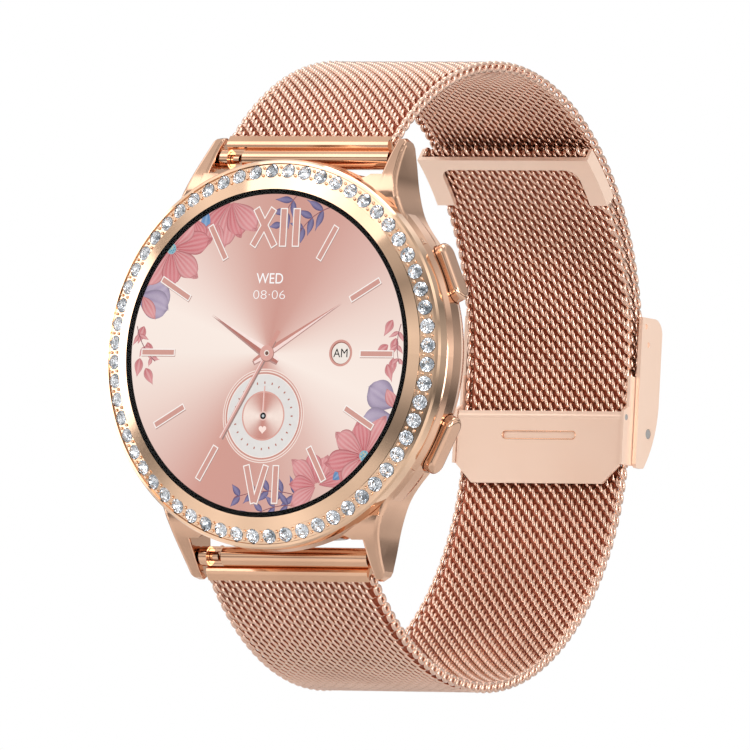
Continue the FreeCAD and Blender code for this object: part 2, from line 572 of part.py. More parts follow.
# ------------------------------------------------------------ spring bars
BAR_Y = FY + d("bar_depth")
for name, sgn in (("upper", 1), ("lower", -1)):
    bz = sgn * d("bar_z")
    tube = xrod(d("tube_rad"), -d("tube_half"), d("tube_half"), BAR_Y, bz).cut(
        xrod(d("tube_bore"), -d("tube_half") - 1, d("tube_half") + 1, BAR_Y, bz))
    # Window on the front for the spring, slot on the back for the lever.
    tube = tube.cut(box(-8.9, -7.2, BAR_Y - 2, BAR_Y - 0.15, bz - 2, bz + 2))
    lever_way = Vector(0, 0.83, -0.56 * sgn)
    side_way = Vector(0, 0.56, 0.83 * sgn)

    def slab(x0, x1, r0, r1, half):
        p = Vector(0, BAR_Y, bz)
        pts = [Vector(x0, 0, 0) + p + lever_way * a + side_way * b for a, b in
               ((r0, -half), (r1, -half), (r1, half), (r0, half))]
        return Part.Face(Part.makePolygon(pts + [pts[0]])).extrude(Vector(x1 - x0, 0, 0))

    tube = tube.cut(slab(-8.9, -7.08, 0.0, 2.0, 0.44))
    keep(solid("hinge_tube_" + name, tube.removeSplitter()))
    barrel = xrod(d("bar_rad"), -d("bar_half"), d("bar_half"), BAR_Y, bz)
    barrel = barrel.fuse(xrod(d("pivot_rad"), d("bar_half"), 10.95, BAR_Y, bz))
    barrel = barrel.cut(xrod(0.5, -d("bar_half") - 0.1, -4.6, BAR_Y, bz))
    barrel = barrel.cut(slab(-8.85, -7.12, 0.0, 2.0, 0.38))
    barrel = barrel.cut(box(-8.85, -5.6, BAR_Y - 2, BAR_Y - 0.1, bz - 2, bz + 2))
    keep(solid("spring_bar_" + name, barrel.removeSplitter()))
    pin = xrod(d("pivot_rad"), -10.95, -7.9, BAR_Y, bz)
    lever = Part.makeCylinder(0.28, 1.3, Vector(-8.4, BAR_Y, bz), lever_way).fuse(
        Part.makeCylinder(0.36, 0.35, Vector(-8.4, BAR_Y, bz) + lever_way * 1.25, lever_way))
    keep(solid("release_tip_" + name, pin.fuse(lever).removeSplitter()))
    coil = ridged(0.26, 0.32, 0.45, 2.95, 8)
    coil.Placement = Placement(Vector(-7.7, BAR_Y, bz), Rotation(Vector(0, 0, 1), Vector(1, 0, 0)))
    keep(solid("release_spring_" + name, coil))

# ------------------------------------------------------------------ strap
MT = d("mesh_thick") / 2
MH = d("mesh_half")


def ring_pt(cy, cz, r, deg):
    a = math.radians(deg)
    return Vector(-MH, cy + r * math.cos(a), cz + r * math.sin(a))


def arc(cy, cz, r, a0, a1):
    return Part.Arc(ring_pt(cy, cz, r, a0), ring_pt(cy, cz, r, (a0 + a1) / 2), ring_pt(cy, cz, r, a1)).toShape()


def band(pieces, reach):
    """Strip in the YZ plane from tangent arcs and lines, pulled across X."""
    outer, inner = [], []
    for kind, data in pieces:
        if kind == "arc":
            cy, cz, r, a0, a1 = data
            outer.append(arc(cy, cz, r + MT, a0, a1))
            inner.append(arc(cy, cz, r - MT, a0, a1))
        else:
            y, z0, z1 = data
            outer.append(Part.makeLine(Vector(-MH, y + MT, z0), Vector(-MH, y + MT, z1)))
            inner.append(Part.makeLine(Vector(-MH, y - MT, z0), Vector(-MH, y - MT, z1)))
    (k0, d0), (k1, d1) = pieces[0], pieces[-1]

    def end(kind, data, last):
        if kind == "arc":
            cy, cz, r, a0, a1 = data
            a = a1 if last else a0
            return Part.makeLine(ring_pt(cy, cz, r + MT, a), ring_pt(cy, cz, r - MT, a))
        y, z0, z1 = data
        z = z1 if last else z0
        return Part.makeLine(Vector(-MH, y + MT, z), Vector(-MH, y - MT, z))

    edges = Part.__sortEdges__(outer + [end(k1, d1, True)] + inner + [end(k0, d0, False)])
    return Part.Face(Part.Wire(edges)).extrude(Vector(2 * reach, 0, 0))


ucy, ucz, ur = d("upper_cy"), d("upper_cz"), d("upper_arc")
lcy, lcz, lr = d("lower_cy"), d("lower_cz"), d("lower_arc")
keep(solid("mesh_upper", band([("line", (ucy + ur, d("upper_end_z"), ucz)), ("arc", (ucy, ucz, ur, 0, d("upper_sweep")))], MH)))
keep(solid("mesh_lower", band([("arc", (ucy, ucz, d("tail_arc"), d("tail_sweep"), 0)), ("line", (lcy + lr, ucz, lcz)),
                               ("arc", (lcy, lcz, lr, 0, -d("lower_sweep")))], MH)))

for name, cy, cz, r, deg in (("upper", ucy, ucz, ur, d("upper_sweep")), ("lower", lcy, lcz, lr, -d("lower_sweep"))):
    sgn = 1 if name == "upper" else -1
    end = ring_pt(cy, cz, r, deg)
    a = math.radians(deg)
    out = Vector(0, math.cos(a), math.sin(a))
    back = Vector(0, -math.sin(a), math.cos(a)) * sgn          # from the mesh towards the hinge
    half = 9.4
    p0 = Vector(-half, end.y, end.z)
    pts = [p0 + out * s1 + back * s2 for s1, s2 in ((0.86, 0.0), (0.86, 0.5), (0.72, 0.78), (0.5, 0.93), (-0.86, 0.93), (-0.86, 0.0))]
    crimp = Part.Face(Part.makePolygon(pts + [pts[0]])).extrude(Vector(2 * half, 0, 0))
    crimp = crimp.cut(xrod(d("tube_rad"), -12, 12, BAR_Y, sgn * d("bar_z")))
    crimp = sorted(crimp.Solids, key=lambda q: -q.Volume)[0]
    lip = [p0 + out * s1 + back * s2 for s1, s2 in ((0.86, 0.0), (0.86, -0.3), (0.64, -0.3), (0.64, 0.0))]
    lip2 = [p0 + out * s1 + back * s2 for s1, s2 in ((-0.86, 0.0), (-0.86, -0.3), (-0.66, -0.3), (-0.66, 0.0))]
    crimp = crimp.multiFuse([Part.Face(Part.makePolygon(q + [q[0]])).extrude(Vector(2 * half, 0, 0)) for q in (lip, lip2)])
    keep(solid("crimp_bar_" + name, crimp.removeSplitter()))

# Tail tip: U-shaped plate on the wrist side of the tail, with side walls.
tr0, tr1 = 25.65, 26.13
def sector(r0, r1, a0, a1, x0, x1):
    e = [Part.Arc(ring_pt(ucy, ucz, r0, a0), ring_pt(ucy, ucz, r0, (a0 + a1) / 2), ring_pt(ucy, ucz, r0, a1)).toShape(),
         Part.makeLine(ring_pt(ucy, ucz, r0, a1), ring_pt(ucy, ucz, r1, a1)),
         Part.Arc(ring_pt(ucy, ucz, r1, a1), ring_pt(ucy, ucz, r1, (a0 + a1) / 2), ring_pt(ucy, ucz, r1, a0)).toShape(),
         Part.makeLine(ring_pt(ucy, ucz, r1, a0), ring_pt(ucy, ucz, r0, a0))]
    s_ = Part.Face(Part.Wire(e)).extrude(Vector(x1 - x0, 0, 0))
    s_.translate(Vector(x0 + MH, 0, 0))
    return s_


tip_u = sector(tr0, tr1, 40.0, 53.6, -10.0, 10.0)
window = sector(25.0, 27.0, 39.0, 50.4, -8.0, 8.0)
corners = [e for e in window.Edges if e.BoundBox.XLength < 0.01 and 1.0 < e.Length < 2.5 and
           math.degrees(math.atan2(e.CenterOfMass.z - ucz, e.CenterOfMass.y - ucy)) > 50]
try:
    soft = window.makeFillet(1.3, corners)
    if soft.isValid():
        window = soft
        print("tail window rounded", len(corners))
except Exception as err:
    print("tail window left square", err)
tip_u = tip_u.cut(window)
for a_, b_ in ((9.66, 10.0), (-10.0, -9.66)):
    tip_u = tip_u.fuse(sector(tr0, 27.2, 40.0, 53.6, a_, b_))
keep(solid("tail_tip", tip_u.removeSplitter()))

# ------------------------------------------------------------------ clasp
FHW, FT = d("flange_half"), d("flange_thick")
cy0, cy1, ct, cl = d("cover_in_y"), d("cover_out_y"), d("cover_top_z"), d("cover_low_z")


def dee(inset, low):
    """Side outline of the clasp cover: straight back, tight top corner, long curve below."""
    o = cy1 - inset
    r = 1.6 - inset
    t_ = ct - inset
    x = -FHW
    k = r * (1 - math.sqrt(0.5))
    edges = [Part.makeLine(Vector(x, cy0 - inset, low), Vector(x, cy0 - inset, t_)),
             Part.makeLine(Vector(x, cy0 - inset, t_), Vector(x, o - r, t_)),
             Part.Arc(Vector(x, o - r, t_), Vector(x, o - k, t_ - k), Vector(x, o, t_ - r)).toShape(),
             Part.makeLine(Vector(x, o, t_ - r), Vector(x, o, 0.7)),
             Part.Arc(Vector(x, o, 0.7), Vector(x, o - 0.62, -3.3), Vector(x, o - 2.45, low)).toShape(),
             Part.makeLine(Vector(x, o - 2.45, low), Vector(x, cy0 - inset, low))]
    return Part.Face(Part.Wire(edges))


shell = dee(0.0, cl).extrude(Vector(2 * FHW, 0, 0))
flanges = [e for e in shell.Edges if abs(e.BoundBox.XLength - 2 * FHW) < 0.01 and abs(e.BoundBox.Center.z - cl) < 0.01]
try:
    soft = shell.makeFillet(0.5, flanges)
    if soft.isValid():
        shell = soft
except Exception:
    pass
hollow = dee(d("cover_wall"), cl - 1.0).extrude(Vector(2 * (FHW - FT), 0, 0))
hollow.translate(Vector(FT, 0, 0))
shell = shell.cut(hollow)
shell = shell.cut(box(-FHW + FT, FHW - FT, 25.0, 33.0, -9.0, -1.2))
shell = shell.cut(box(-FHW + FT, FHW - FT, 25.0, 30.0, 6.0, 9.5))
shell = shell.cut(xrod(d("pin_rad") + 0.01, -12, 12, d("pin_y"), d("pin_z")))
for x0, x1 in ((FHW - 0.12, FHW + 1), (-FHW - 1, -FHW + 0.12)):
    for y_, z_ in ((27.9, 7.8), (28.5, 5.99)):
        shell = shell.cut(xrod(0.28, x0, x1, y_, z_))
keep(solid("clasp_cover", shell.removeSplitter()))
keep(solid("cover_pin", xrod(d("pin_rad") - 0.03, -FHW + 0.02, FHW - 0.02, d("pin_y"), d("pin_z"))))
bar = box(-9.6, 9.6, 28.12, 30.15, -4.0, -1.92).cut(xrod(d("pin_rad"), -12, 12, d("pin_y"), d("pin_z")))
bar = bar.fuse(box(-9.6, 9.6, 29.36, 29.9, -1.92, -0.9)).removeSplitter()
be = [e for e in bar.Edges if e.BoundBox.XLength > 19 and abs(e.BoundBox.Center.y - 30.15) < 0.01]
try:
    soft = bar.makeFillet(0.4, be)
    if soft.isValid():
        bar = soft
except Exception:
    pass
keep(solid("upper_end_bar", bar))

SH, SW = d("slider_half"), d("slider_wall")
wall_pts = [(25.25, -6.4), (25.25, -0.95), (26.2, -0.45), (26.2, 2.6), (27.92, 2.6), (27.92, -3.5), (27.4, -6.4)]
slider = prism(wall_pts, "x", SH - SW, SH).multiFuse([
    prism(wall_pts, "x", -SH, -SH + SW), box(-SH, SH, 27.7, 27.92, -3.5, 2.6)])
slider = slider.cut(xrod(0.31, -12, 12, d("lock_y"), d("lock_z")))
keep(solid("clasp_slider", slider.removeSplitter()))
keep(solid("lock_pin", xrod(0.3, -SH + 0.02, SH - 0.02, d("lock_y"), d("lock_z"))))
PW = 9.6
py, pt = d("plate_y"), d("plate_thick")
plate = prism([(-PW, -1.05), (PW, -1.05), (PW, -6.5), (PW - 1.9, -8.4), (-PW + 1.9, -8.4), (-PW, -6.5)], "y", py, py + pt)
plate = plate.fuse(xrod(0.45, -PW, PW, d("lock_y"), d("lock_z")))
plate = plate.cut(xrod(0.34, -12, 12, d("lock_y"), d("lock_z")))
slot = box(-3.9, 3.9, py - 0.1, py + 0.12, -3.93, -3.07)
for x_ in (-3.9, 3.9):
    slot = slot.fuse(Part.makeCylinder(0.43, 0.22, Vector(x_, py - 0.1, -3.5), Vector(0, 1, 0)))
plate = plate.cut(slot.removeSplitter())
keep(solid("lock_plate", plate.removeSplitter()))

# Holes for the speaker and microphone on the 9 o'clock side.
case = next(o for o in NODES if o.Label == "case_middle")
drilled = case.Shape
for z in (-2.2, 0.0, 2.2):
    drilled = drilled.cut(xrod(0.45, -21.0, -16.0, FY + 5.8, z))
case.Shape = drilled

# ------------------------------------------------------------------ write
doc.recompute()
bad = [o.Name for o in doc.Objects if "Invalid" in o.State or "Error" in o.State]
for o in NODES:
    sh = o.Shape
    if sh.isNull() or not sh.isValid() or sh.Volume <= 0 or not sh.Solids:
        bad.append(o.Label)
if bad:
    raise SystemExit("failed objects: " + ", ".join(bad))
os.makedirs("parts", exist_ok=True)
for o in NODES:
    o.Shape.exportStep("parts/%s.step" % o.Label)
    print("%-24s %3d solids %10.2f mm3" % (o.Label, len(o.Shape.Solids), o.Shape.Volume))
print(len(NODES), "nodes")
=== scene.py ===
import bpy, math, json, random
import numpy as np
from mathutils import Vector, Matrix


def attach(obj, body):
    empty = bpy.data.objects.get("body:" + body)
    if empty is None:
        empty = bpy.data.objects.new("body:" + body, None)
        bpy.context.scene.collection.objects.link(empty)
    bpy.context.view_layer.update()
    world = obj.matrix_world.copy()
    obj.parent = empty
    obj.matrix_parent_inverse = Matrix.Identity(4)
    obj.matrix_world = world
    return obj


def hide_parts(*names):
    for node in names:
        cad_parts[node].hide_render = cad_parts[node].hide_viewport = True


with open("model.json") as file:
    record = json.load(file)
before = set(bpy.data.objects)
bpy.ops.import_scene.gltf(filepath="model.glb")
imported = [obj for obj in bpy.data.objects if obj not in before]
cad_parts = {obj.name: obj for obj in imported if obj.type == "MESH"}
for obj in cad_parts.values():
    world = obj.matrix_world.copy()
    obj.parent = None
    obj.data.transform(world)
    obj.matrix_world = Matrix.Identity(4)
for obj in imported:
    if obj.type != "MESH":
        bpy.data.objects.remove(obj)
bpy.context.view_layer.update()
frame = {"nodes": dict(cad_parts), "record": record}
random.seed(7)
rng = np.random.default_rng(7)
MM = 0.001
FY = -28.0          # face plane of the dial, mm


# ------------------------------------------------------------- materials
def srgb(text):
    c = [int(text[i:i + 2], 16) / 255 for i in (1, 3, 5)]
    return tuple((x / 12.92 if x <= 0.04045 else ((x + 0.055) / 1.055) ** 2.4) for x in c) + (1.0,)


def new_mat(name):
    m = bpy.data.materials.new(name)
    m.use_nodes = True
    nt = m.node_tree
    return m, nt, nt.nodes["Principled BSDF"]


def link(nt, a, b):
    nt.links.new(a, b)


def metal(name, color, rough, bump=0.0, scale=4000.0, spread=0.05, stretch=(1, 1, 1), aniso=0.0, dark=0.85, part_metal=1.0):
    """Plated metal: slow colour drift, fine roughness variation and a light bump."""
    m, nt, p = new_mat(name)
    p.inputs["Metallic"].default_value = part_metal
    if aniso:
        p.inputs["Anisotropic"].default_value = aniso
    tc = nt.nodes.new("ShaderNodeTexCoord")
    mp = nt.nodes.new("ShaderNodeMapping")
    mp.inputs["Scale"].default_value = stretch
    link(nt, tc.outputs["Object"], mp.inputs["Vector"])
    fine = nt.nodes.new("ShaderNodeTexNoise")
    fine.inputs["Scale"].default_value = scale
    fine.inputs["Detail"].default_value = 3.0
    link(nt, mp.outputs["Vector"], fine.inputs["Vector"])
    slow = nt.nodes.new("ShaderNodeTexNoise")
    slow.inputs["Scale"].default_value = 120.0
    link(nt, tc.outputs["Object"], slow.inputs["Vector"])
    ramp = nt.nodes.new("ShaderNodeValToRGB")
    c = srgb(color)
    ramp.color_ramp.elements[0].color = (c[0] * dark, c[1] * dark * 0.97, c[2] * dark * 0.95, 1)
    ramp.color_ramp.elements[1].color = c
    ramp.color_ramp.elements[0].position = 0.2
    ramp.color_ramp.elements[1].position = 0.6
    link(nt, slow.outputs["Fac"], ramp.inputs["Fac"])
    link(nt, ramp.outputs["Color"], p.inputs["Base Color"])
    mr = nt.nodes.new("ShaderNodeMapRange")
    mr.inputs["To Min"].default_value = max(0.02, rough - spread)
    mr.inputs["To Max"].default_value = rough + spread
    link(nt, fine.outputs["Fac"], mr.inputs["Value"])
    link(nt, mr.outputs["Result"], p.inputs["Roughness"])
    if bump:
        b = nt.nodes.new("ShaderNodeBump")
        b.inputs["Strength"].default_value = bump
        b.inputs["Distance"].default_value = 0.00002
        link(nt, fine.outputs["Fac"], b.inputs["Height"])
        link(nt, b.outputs["Normal"], p.inputs["Normal"])
    return m


def plastic(name, color, rough, coat=0.0, scale=2500.0, bump=0.15):
    m, nt, p = new_mat(name)
    tc = nt.nodes.new("ShaderNodeTexCoord")
    n = nt.nodes.new("ShaderNodeTexNoise")
    n.inputs["Scale"].default_value = scale
    link(nt, tc.outputs["Object"], n.inputs["Vector"])
    ramp = nt.nodes.new("ShaderNodeValToRGB")
    c = srgb(color)
    ramp.color_ramp.elements[0].color = (c[0] * 0.94, c[1] * 0.94, c[2] * 0.94, 1)
    ramp.color_ramp.elements[1].color = c
    link(nt, n.outputs["Fac"], ramp.inputs["Fac"])
    link(nt, ramp.outputs["Color"], p.inputs["Base Color"])
    mr = nt.nodes.new("ShaderNodeMapRange")
    mr.inputs["To Min"].default_value = max(0.03, rough - 0.06)
    mr.inputs["To Max"].default_value = rough + 0.06
    link(nt, n.outputs["Fac"], mr.inputs["Value"])
    link(nt, mr.outputs["Result"], p.inputs["Roughness"])
    p.inputs["Coat Weight"].default_value = coat
    b = nt.nodes.new("ShaderNodeBump")
    b.inputs["Strength"].default_value = bump
    b.inputs["Distance"].default_value = 0.00001
    link(nt, n.outputs["Fac"], b.inputs["Height"])
    link(nt, b.outputs["Normal"], p.inputs["Normal"])
    return m


MAT = {
    "case_metal": metal("plated_case", "#E3B89C", 0.11, 0.03, 2500, 0.03),
    "bezel_metal": metal("plated_bezel", "#F3CCAC", 0.08, 0.02, 2500, 0.02),
    "mesh_metal": metal("plated_wire", "#F3CDB8", 0.18, 0.05, 9000, 0.05),
    "clasp_metal": metal("plated_clasp", "#FCDCC6", 0.36, 0.02, 3000, 0.04, part_metal=0.45, dark=0.97),
    "bright_steel": metal("bright_steel", "#D9D6D3", 0.15, 0.03, 3000, 0.05),
    "spring_steel": metal("spring_wire", "#B9B6B2", 0.25, 0.05, 5000, 0.06),
    "tube_metal": metal("plated_tube", "#F3C3A2", 0.1, 0.02, 2500, 0.02),
    "black_plastic": plastic("black_window", "#0A0A0C", 0.08, 0.6),
    "frame_plastic": plastic("moulded_frame", "#26262A", 0.5),
    "rubber": plastic("elastomer", "#101012", 0.7),
    "board": plastic("solder_mask", "#0E3B26", 0.35, 0.3),
    "cell": metal("foil_pouch", "#C2C4C8", 0.35, 0.3, 1500, 0.08),
    "shield": metal("tinned_sheet", "#C9C9C6", 0.3, 0.1, 2500, 0.06),
    "flex": plastic("film", "#A4642A", 0.35, 0.4),
    "gold_contact": metal("contact_gold", "#E9BE5A", 0.15, 0.03, 2500, 0.04),
    "back_plastic": plastic("painted_back", "#DDAF9A", 0.28, 0.5),
}
for node, obj in frame["nodes"].items():
    slot = None
    for sp in frame["record"]["subparts"]:
        if sp["node"] == node:
            slot = sp["material_slot"]
    if slot in MAT and obj.type == "MESH":
        tube = node.startswith(("hinge_tube", "spring_bar", "release_", "crimp_bar"))
        mat = MAT["tube_metal"] if tube else MAT[slot]
        obj.data.materials.clear()
        obj.data.materials.append(mat)


# -------------------------------------------------------------- geometry
def build(name, verts, faces, mat, body, smooth=True, scale=MM, mats=None, index=None, colors=None):
    me = bpy.data.meshes.new(name)
    v = np.asarray(verts, dtype=np.float64) * scale
    me.from_pydata(v.tolist(), [], faces if isinstance(faces, list) else faces.tolist())
    me.update()
    for m in (mats or [mat]):
        me.materials.append(m)
    if index is not None:
        me.polygons.foreach_set("material_index", np.asarray(index, dtype=np.int32))
    me.polygons.foreach_set("use_smooth", np.full(len(me.polygons), bool(smooth)))
    if colors is not None:
        att = me.color_attributes.new("Col", "FLOAT_COLOR", "POINT")
        att.data.foreach_set("color", np.asarray(colors, dtype=np.float32).ravel())
    ob = bpy.data.objects.new(name, me)
    bpy.context.scene.collection.objects.link(ob)
    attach(ob, body)
    return ob


def sweep(points, tangents, ups, rad, sides, closed):
    """Tubes along many paths at once. points: (paths, samples, 3)."""
    b = np.cross(tangents, ups)
    b /= np.linalg.norm(b, axis=-1, keepdims=True)
    a = np.cross(b, tangents)
    a /= np.linalg.norm(a, axis=-1, keepdims=True)
    ang = np.arange(sides) * 2 * math.pi / sides
    ca, sa = np.cos(ang), np.sin(ang)
    v = points[:, :, None, :] + rad * (a[:, :, None, :] * ca[None, None, :, None] + b[:, :, None, :] * sa[None, None, :, None])
    P, S = points.shape[:2]
    verts = v.reshape(-1, 3)
    i = np.arange(S if closed else S - 1)
    k = np.arange(sides)
    I, K = np.meshgrid(i, k, indexing="ij")
    I2 = (I + 1) % S
    K2 = (K + 1) % sides
    quad = np.stack([I * sides + K, I * sides + K2, I2 * sides + K2, I2 * sides + K], -1).reshape(-1, 4)
    faces = (quad[None] + (np.arange(P) * S * sides)[:, None, None]).reshape(-1, 4)
    faces = faces.tolist()
    if not closed:
        for p in range(P):
            base = p * S * sides
            faces.append([base + q for q in range(sides)][::-1])
            faces.append([base + (S - 1) * sides + q for q in range(sides)])
    return verts, faces


# ------------------------------------------------------------ woven bands
class Path:
    """Centreline of a band in the YZ plane: arcs and a straight run."""

    def __init__(self, parts):
        self.parts = parts
        self.length = sum(p[-1] for p in parts)

    def at(self, s):
        s = np.asarray(s, dtype=float)
        y = np.zeros_like(s); z = np.zeros_like(s); ty = np.zeros_like(s); tz = np.zeros_like(s)
        ny = np.zeros_like(s); nz = np.zeros_like(s)
        start = 0.0
        for n, p in enumerate(self.parts):
            last = n == len(self.parts) - 1
            mask = (s >= start if n else s >= -1e9) & ((s < start + p[-1]) | last)
            u = s[mask] - start
            if p[0] == "arc":
                _, cy, cz, r, a0, sign, _ = p
                a = a0 + sign * u / r
                y[mask] = cy + r * np.cos(a); z[mask] = cz + r * np.sin(a)
                ny[mask] = np.cos(a); nz[mask] = np.sin(a)
                ty[mask] = -np.sin(a) * sign; tz[mask] = np.cos(a) * sign
            else:
                _, y0, z0, dz, _ = p
                y[mask] = y0; z[mask] = z0 + dz * u
                ny[mask] = 1.0; nz[mask] = 0.0
                ty[mask] = 0.0; tz[mask] = dz
            start += p[-1]
        return y, z, ty, tz, ny, nz


def arc_part(cy, cz, r, a0, a1):
    a0, a1 = math.radians(a0), math.radians(a1)
    return ("arc", cy, cz, r, a0, 1.0 if a1 > a0 else -1.0, abs(a1 - a0) * r)


UPPER = Path([arc_part(0.2, 2.8, 28.5, 138.98, 0.0), ("line", 28.7, 2.8, -1.0, 4.6)])
LOWER = Path([arc_part(-0.3, -3.7, 27.3, -139.3, 0.0), ("line", 27.0, -3.7, 1.0, 6.5), arc_part(0.2, 2.8, 26.8, 0.0, 56.2)])
ROW, PITCH, WIRE = 0.622, 1.2, 0.172
HALF_S, HALF_N, EDGE = 0.6, 0.40, 9.15
SEG, SIDES = 14, 6


# Painted shade: dark metal for the sheet inside the weave, standing in for the shade seen through the gaps between the
# coils.
GAP_SHADE = metal("painted_gap_shade", "#B25C3F", 0.4, 0.3, 9000, 0.1, part_metal=0.5)


def weave(name, path, sign, first, rows, node, body, parts):
    turns = int(round(2 * EDGE / PITCH))
    th = np.arange(turns * SEG + 1) * 2 * math.pi / SEG
    names = []
    bounds = np.linspace(0, rows, parts + 1).astype(int)
    for part in range(parts):
        idx = np.arange(bounds[part], bounds[part + 1])
        c, sn = np.cos(th), np.sin(th)
        fs = np.sign(c) * np.abs(c) ** 0.85
        fn = np.sign(sn) * np.abs(sn) ** 0.7
        shift = (idx % 2) * PITCH / 2 - PITCH / 4
        x = -turns * PITCH / 2 + PITCH * th[None, :] / (2 * math.pi) + shift[:, None]
        s = first + ROW * idx[:, None] + sign * HALF_S * fs[None, :]
        n = np.broadcast_to(HALF_N * fn[None, :], s.shape)
        y, z, ty, tz, ny, nz = path.at(s)
        pts = np.stack([x, y + n * ny, z + n * nz], -1)
        tan = np.gradient(pts, axis=1)
        tan /= np.linalg.norm(tan, axis=-1, keepdims=True)
        up = np.zeros_like(pts); up[..., 0] = 1.0
        verts, faces = sweep(pts, tan, up, WIRE, SIDES, False)
        names.append(build("%s_coils_%d" % (name, part + 1), verts, faces, MAT["mesh_metal"], body))
    # Closed loops along both edges: the welded ends of each pair of coils.
    loops = np.arange(int(rows / 2))
    t = np.arange(18) * 2 * math.pi / 18
    allp = []
    for side in (-1, 1):
        c, sn = np.cos(t), np.sin(t)
        fs = 0.50 * np.sign(c) * np.abs(c) ** 0.8
        fn = 0.40 * np.sign(sn) * np.abs(sn) ** 0.8
        s = first + ROW * (2 * loops[:, None] + 0.5) + (fs + 0.32 * fn)[None, :] * sign
        n = np.broadcast_to(fn[None, :], s.shape)
        y, z, ty, tz, ny, nz = path.at(s)
        x = np.full_like(s, side * (EDGE + 0.22)) + side * 0.06 * np.cos(t)[None, :]
        allp.append(np.stack([x, y + n * ny, z + n * nz], -1))
    pts = np.concatenate(allp, 0)
    tan = np.roll(pts, -1, axis=1) - np.roll(pts, 1, axis=1)
    tan /= np.linalg.norm(tan, axis=-1, keepdims=True)
    up = np.zeros_like(pts); up[..., 0] = 1.0
    verts, faces = sweep(pts, tan, up, 0.215, 8, True)
    names.append(build(name + "_edge_loops", verts, faces, MAT["mesh_metal"], body))
    # A flat dark sheet down the middle of the weave, seen only through the gaps: it stands in for the inner wires, and
    # its dark colour is painted shade between the coils.
    s = np.linspace(0.3, first + ROW * (rows - 1), 240)
    y, z, ty, tz, ny, nz = path.at(s)
    verts = []
    for x_, off in ((-9.0, -0.05), (9.0, -0.05), (9.0, 0.05), (-9.0, 0.05)):
        verts.append(np.stack([np.full_like(s, x_), y + off * ny, z + off * nz], -1))
    verts = np.stack(verts, 1).reshape(-1, 3)
    faces = []
    for i in range(len(s) - 1):
        for k in range(4):
            l = (k + 1) % 4
            faces.append([4 * i + k, 4 * i + l, 4 * i + 4 + l, 4 * i + 4 + k])
    e = 4 * (len(s) - 1)
    faces += [[3, 2, 1, 0], [e, e + 1, e + 2, e + 3]]
    names.append(build(name + "_painted_gap_shade", verts, faces, GAP_SHADE, body, smooth=False))
    for ob in names:
        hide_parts(node)


rows_u = int((UPPER.length - 1.1) / ROW) + 1
weave("mesh_upper", UPPER, 1, 0.35, rows_u, "mesh_upper", "strap_upper", 3)
rows_l = int((LOWER.length - 1.1) / ROW) + 1
weave("mesh_lower", LOWER, -1, 0.35, rows_l, "mesh_lower", "strap_lower", 4)

# Raised lip round the finger groove of the lock plate.
t = np.arange(24) / 24
pill = [(3.9 + 0.4 * math.cos(q), -3.5 + 0.4 * math.sin(q)) for q in np.linspace(-math.pi / 2, math.pi / 2, 13)] + \
       [(-3.9 + 0.4 * math.cos(q), -3.5 + 0.4 * math.sin(q)) for q in np.linspace(math.pi / 2, 1.5 * math.pi, 13)]
pts = np.array([[[x_, 25.4, z_] for x_, z_ in pill]])
tan = np.roll(pts, -1, axis=1) - np.roll(pts, 1, axis=1)
tan /= np.linalg.norm(tan, axis=-1, keepdims=True)
up = np.zeros_like(pts); up[..., 1] = 1.0
verts, faces = sweep(pts, tan, up, 0.06, 8, True)
build("lock_plate_groove_lip", verts, faces, MAT["tube_metal"], "lock_plate")

# ----------------------------------------------------------------- stones
crystal, nt, p = new_mat("cut_glass")
p.inputs["Base Color"].default_value = (0.97, 0.985, 1.0, 1)
p.inputs["Roughness"].default_value = 0.0
p.inputs["IOR"].default_value = 1.65
p.inputs["Transmission Weight"].default_value = 1.0
foil, nt, p = new_mat("mirror_foil")
p.inputs["Base Color"].default_value = (0.9, 0.93, 0.96, 1)
p.inputs["Metallic"].default_value = 1.0
p.inputs["Roughness"].default_value = 0.03
tc = nt.nodes.new("ShaderNodeTexCoord")
n1 = nt.nodes.new("ShaderNodeTexNoise")
n1.inputs["Scale"].default_value = 1600.0
link(nt, tc.outputs["Object"], n1.inputs["Vector"])
rp = nt.nodes.new("ShaderNodeValToRGB")
rp.color_ramp.elements[0].color = (0.3, 0.33, 0.36, 1)
rp.color_ramp.elements[0].position = 0.35
rp.color_ramp.elements[1].color = (0.97, 0.98, 1.0, 1)
rp.color_ramp.elements[1].position = 0.5
link(nt, n1.outputs["Fac"], rp.inputs["Fac"])
link(nt, rp.outputs["Color"], p.inputs["Base Color"])


def ring_of(r, h, n, off):
    return [(r * math.cos(2 * math.pi * (i + off) / n), r * math.sin(2 * math.pi * (i + off) / n), h) for i in range(n)]


st_v = ring_of(0.40, 0.27, 8, 0) + ring_of(0.60, 0.16, 8, 0.5) + ring_of(0.735, 0.01, 16, 0) + ring_of(0.735, -0.05, 16, 0) \
    + ring_of(0.38, -0.38, 8, 0.5) + [(0, 0, -0.62)]
st_f, st_m = [list(range(8))], [0]
for i in range(8):
    j = (i + 1) % 8
    T, Cc, G = i, 8 + i, 16 + 2 * i
    st_f += [[i, 8 + i, j], [i, 16 + 2 * i, 8 + i][::1], [j, 8 + i, 16 + (2 * i + 2) % 16]]
    st_m += [0, 0, 0]
    st_f += [[8 + i, 16 + 2 * i, 16 + 2 * i + 1], [8 + i, 16 + 2 * i + 1, 16 + (2 * i + 2) % 16]]
    st_m += [0, 0]
for i in range(16):
    j = (i + 1) % 16
    st_f.append([16 + i, 32 + i, 32 + j, 16 + j]); st_m.append(0)
for i in range(8):
    j = (i + 1) % 8
    st_f += [[48 + i, 32 + (2 * i + 1), 32 + 2 * i], [48 + i, 32 + (2 * i + 2) % 16, 32 + 2 * i + 1]]
    st_f += [[48 + i, 48 + j, 32 + (2 * i + 2) % 16], [56, 48 + j, 48 + i]]
    st_m += [1, 1, 1, 1]
st_v = np.array(st_v)
tilt = math.radians(19.5)
V, F, M, PV, PF = [], [], [], [], []
ico = bpy.data.meshes.new("tmp_bead")
import bmesh
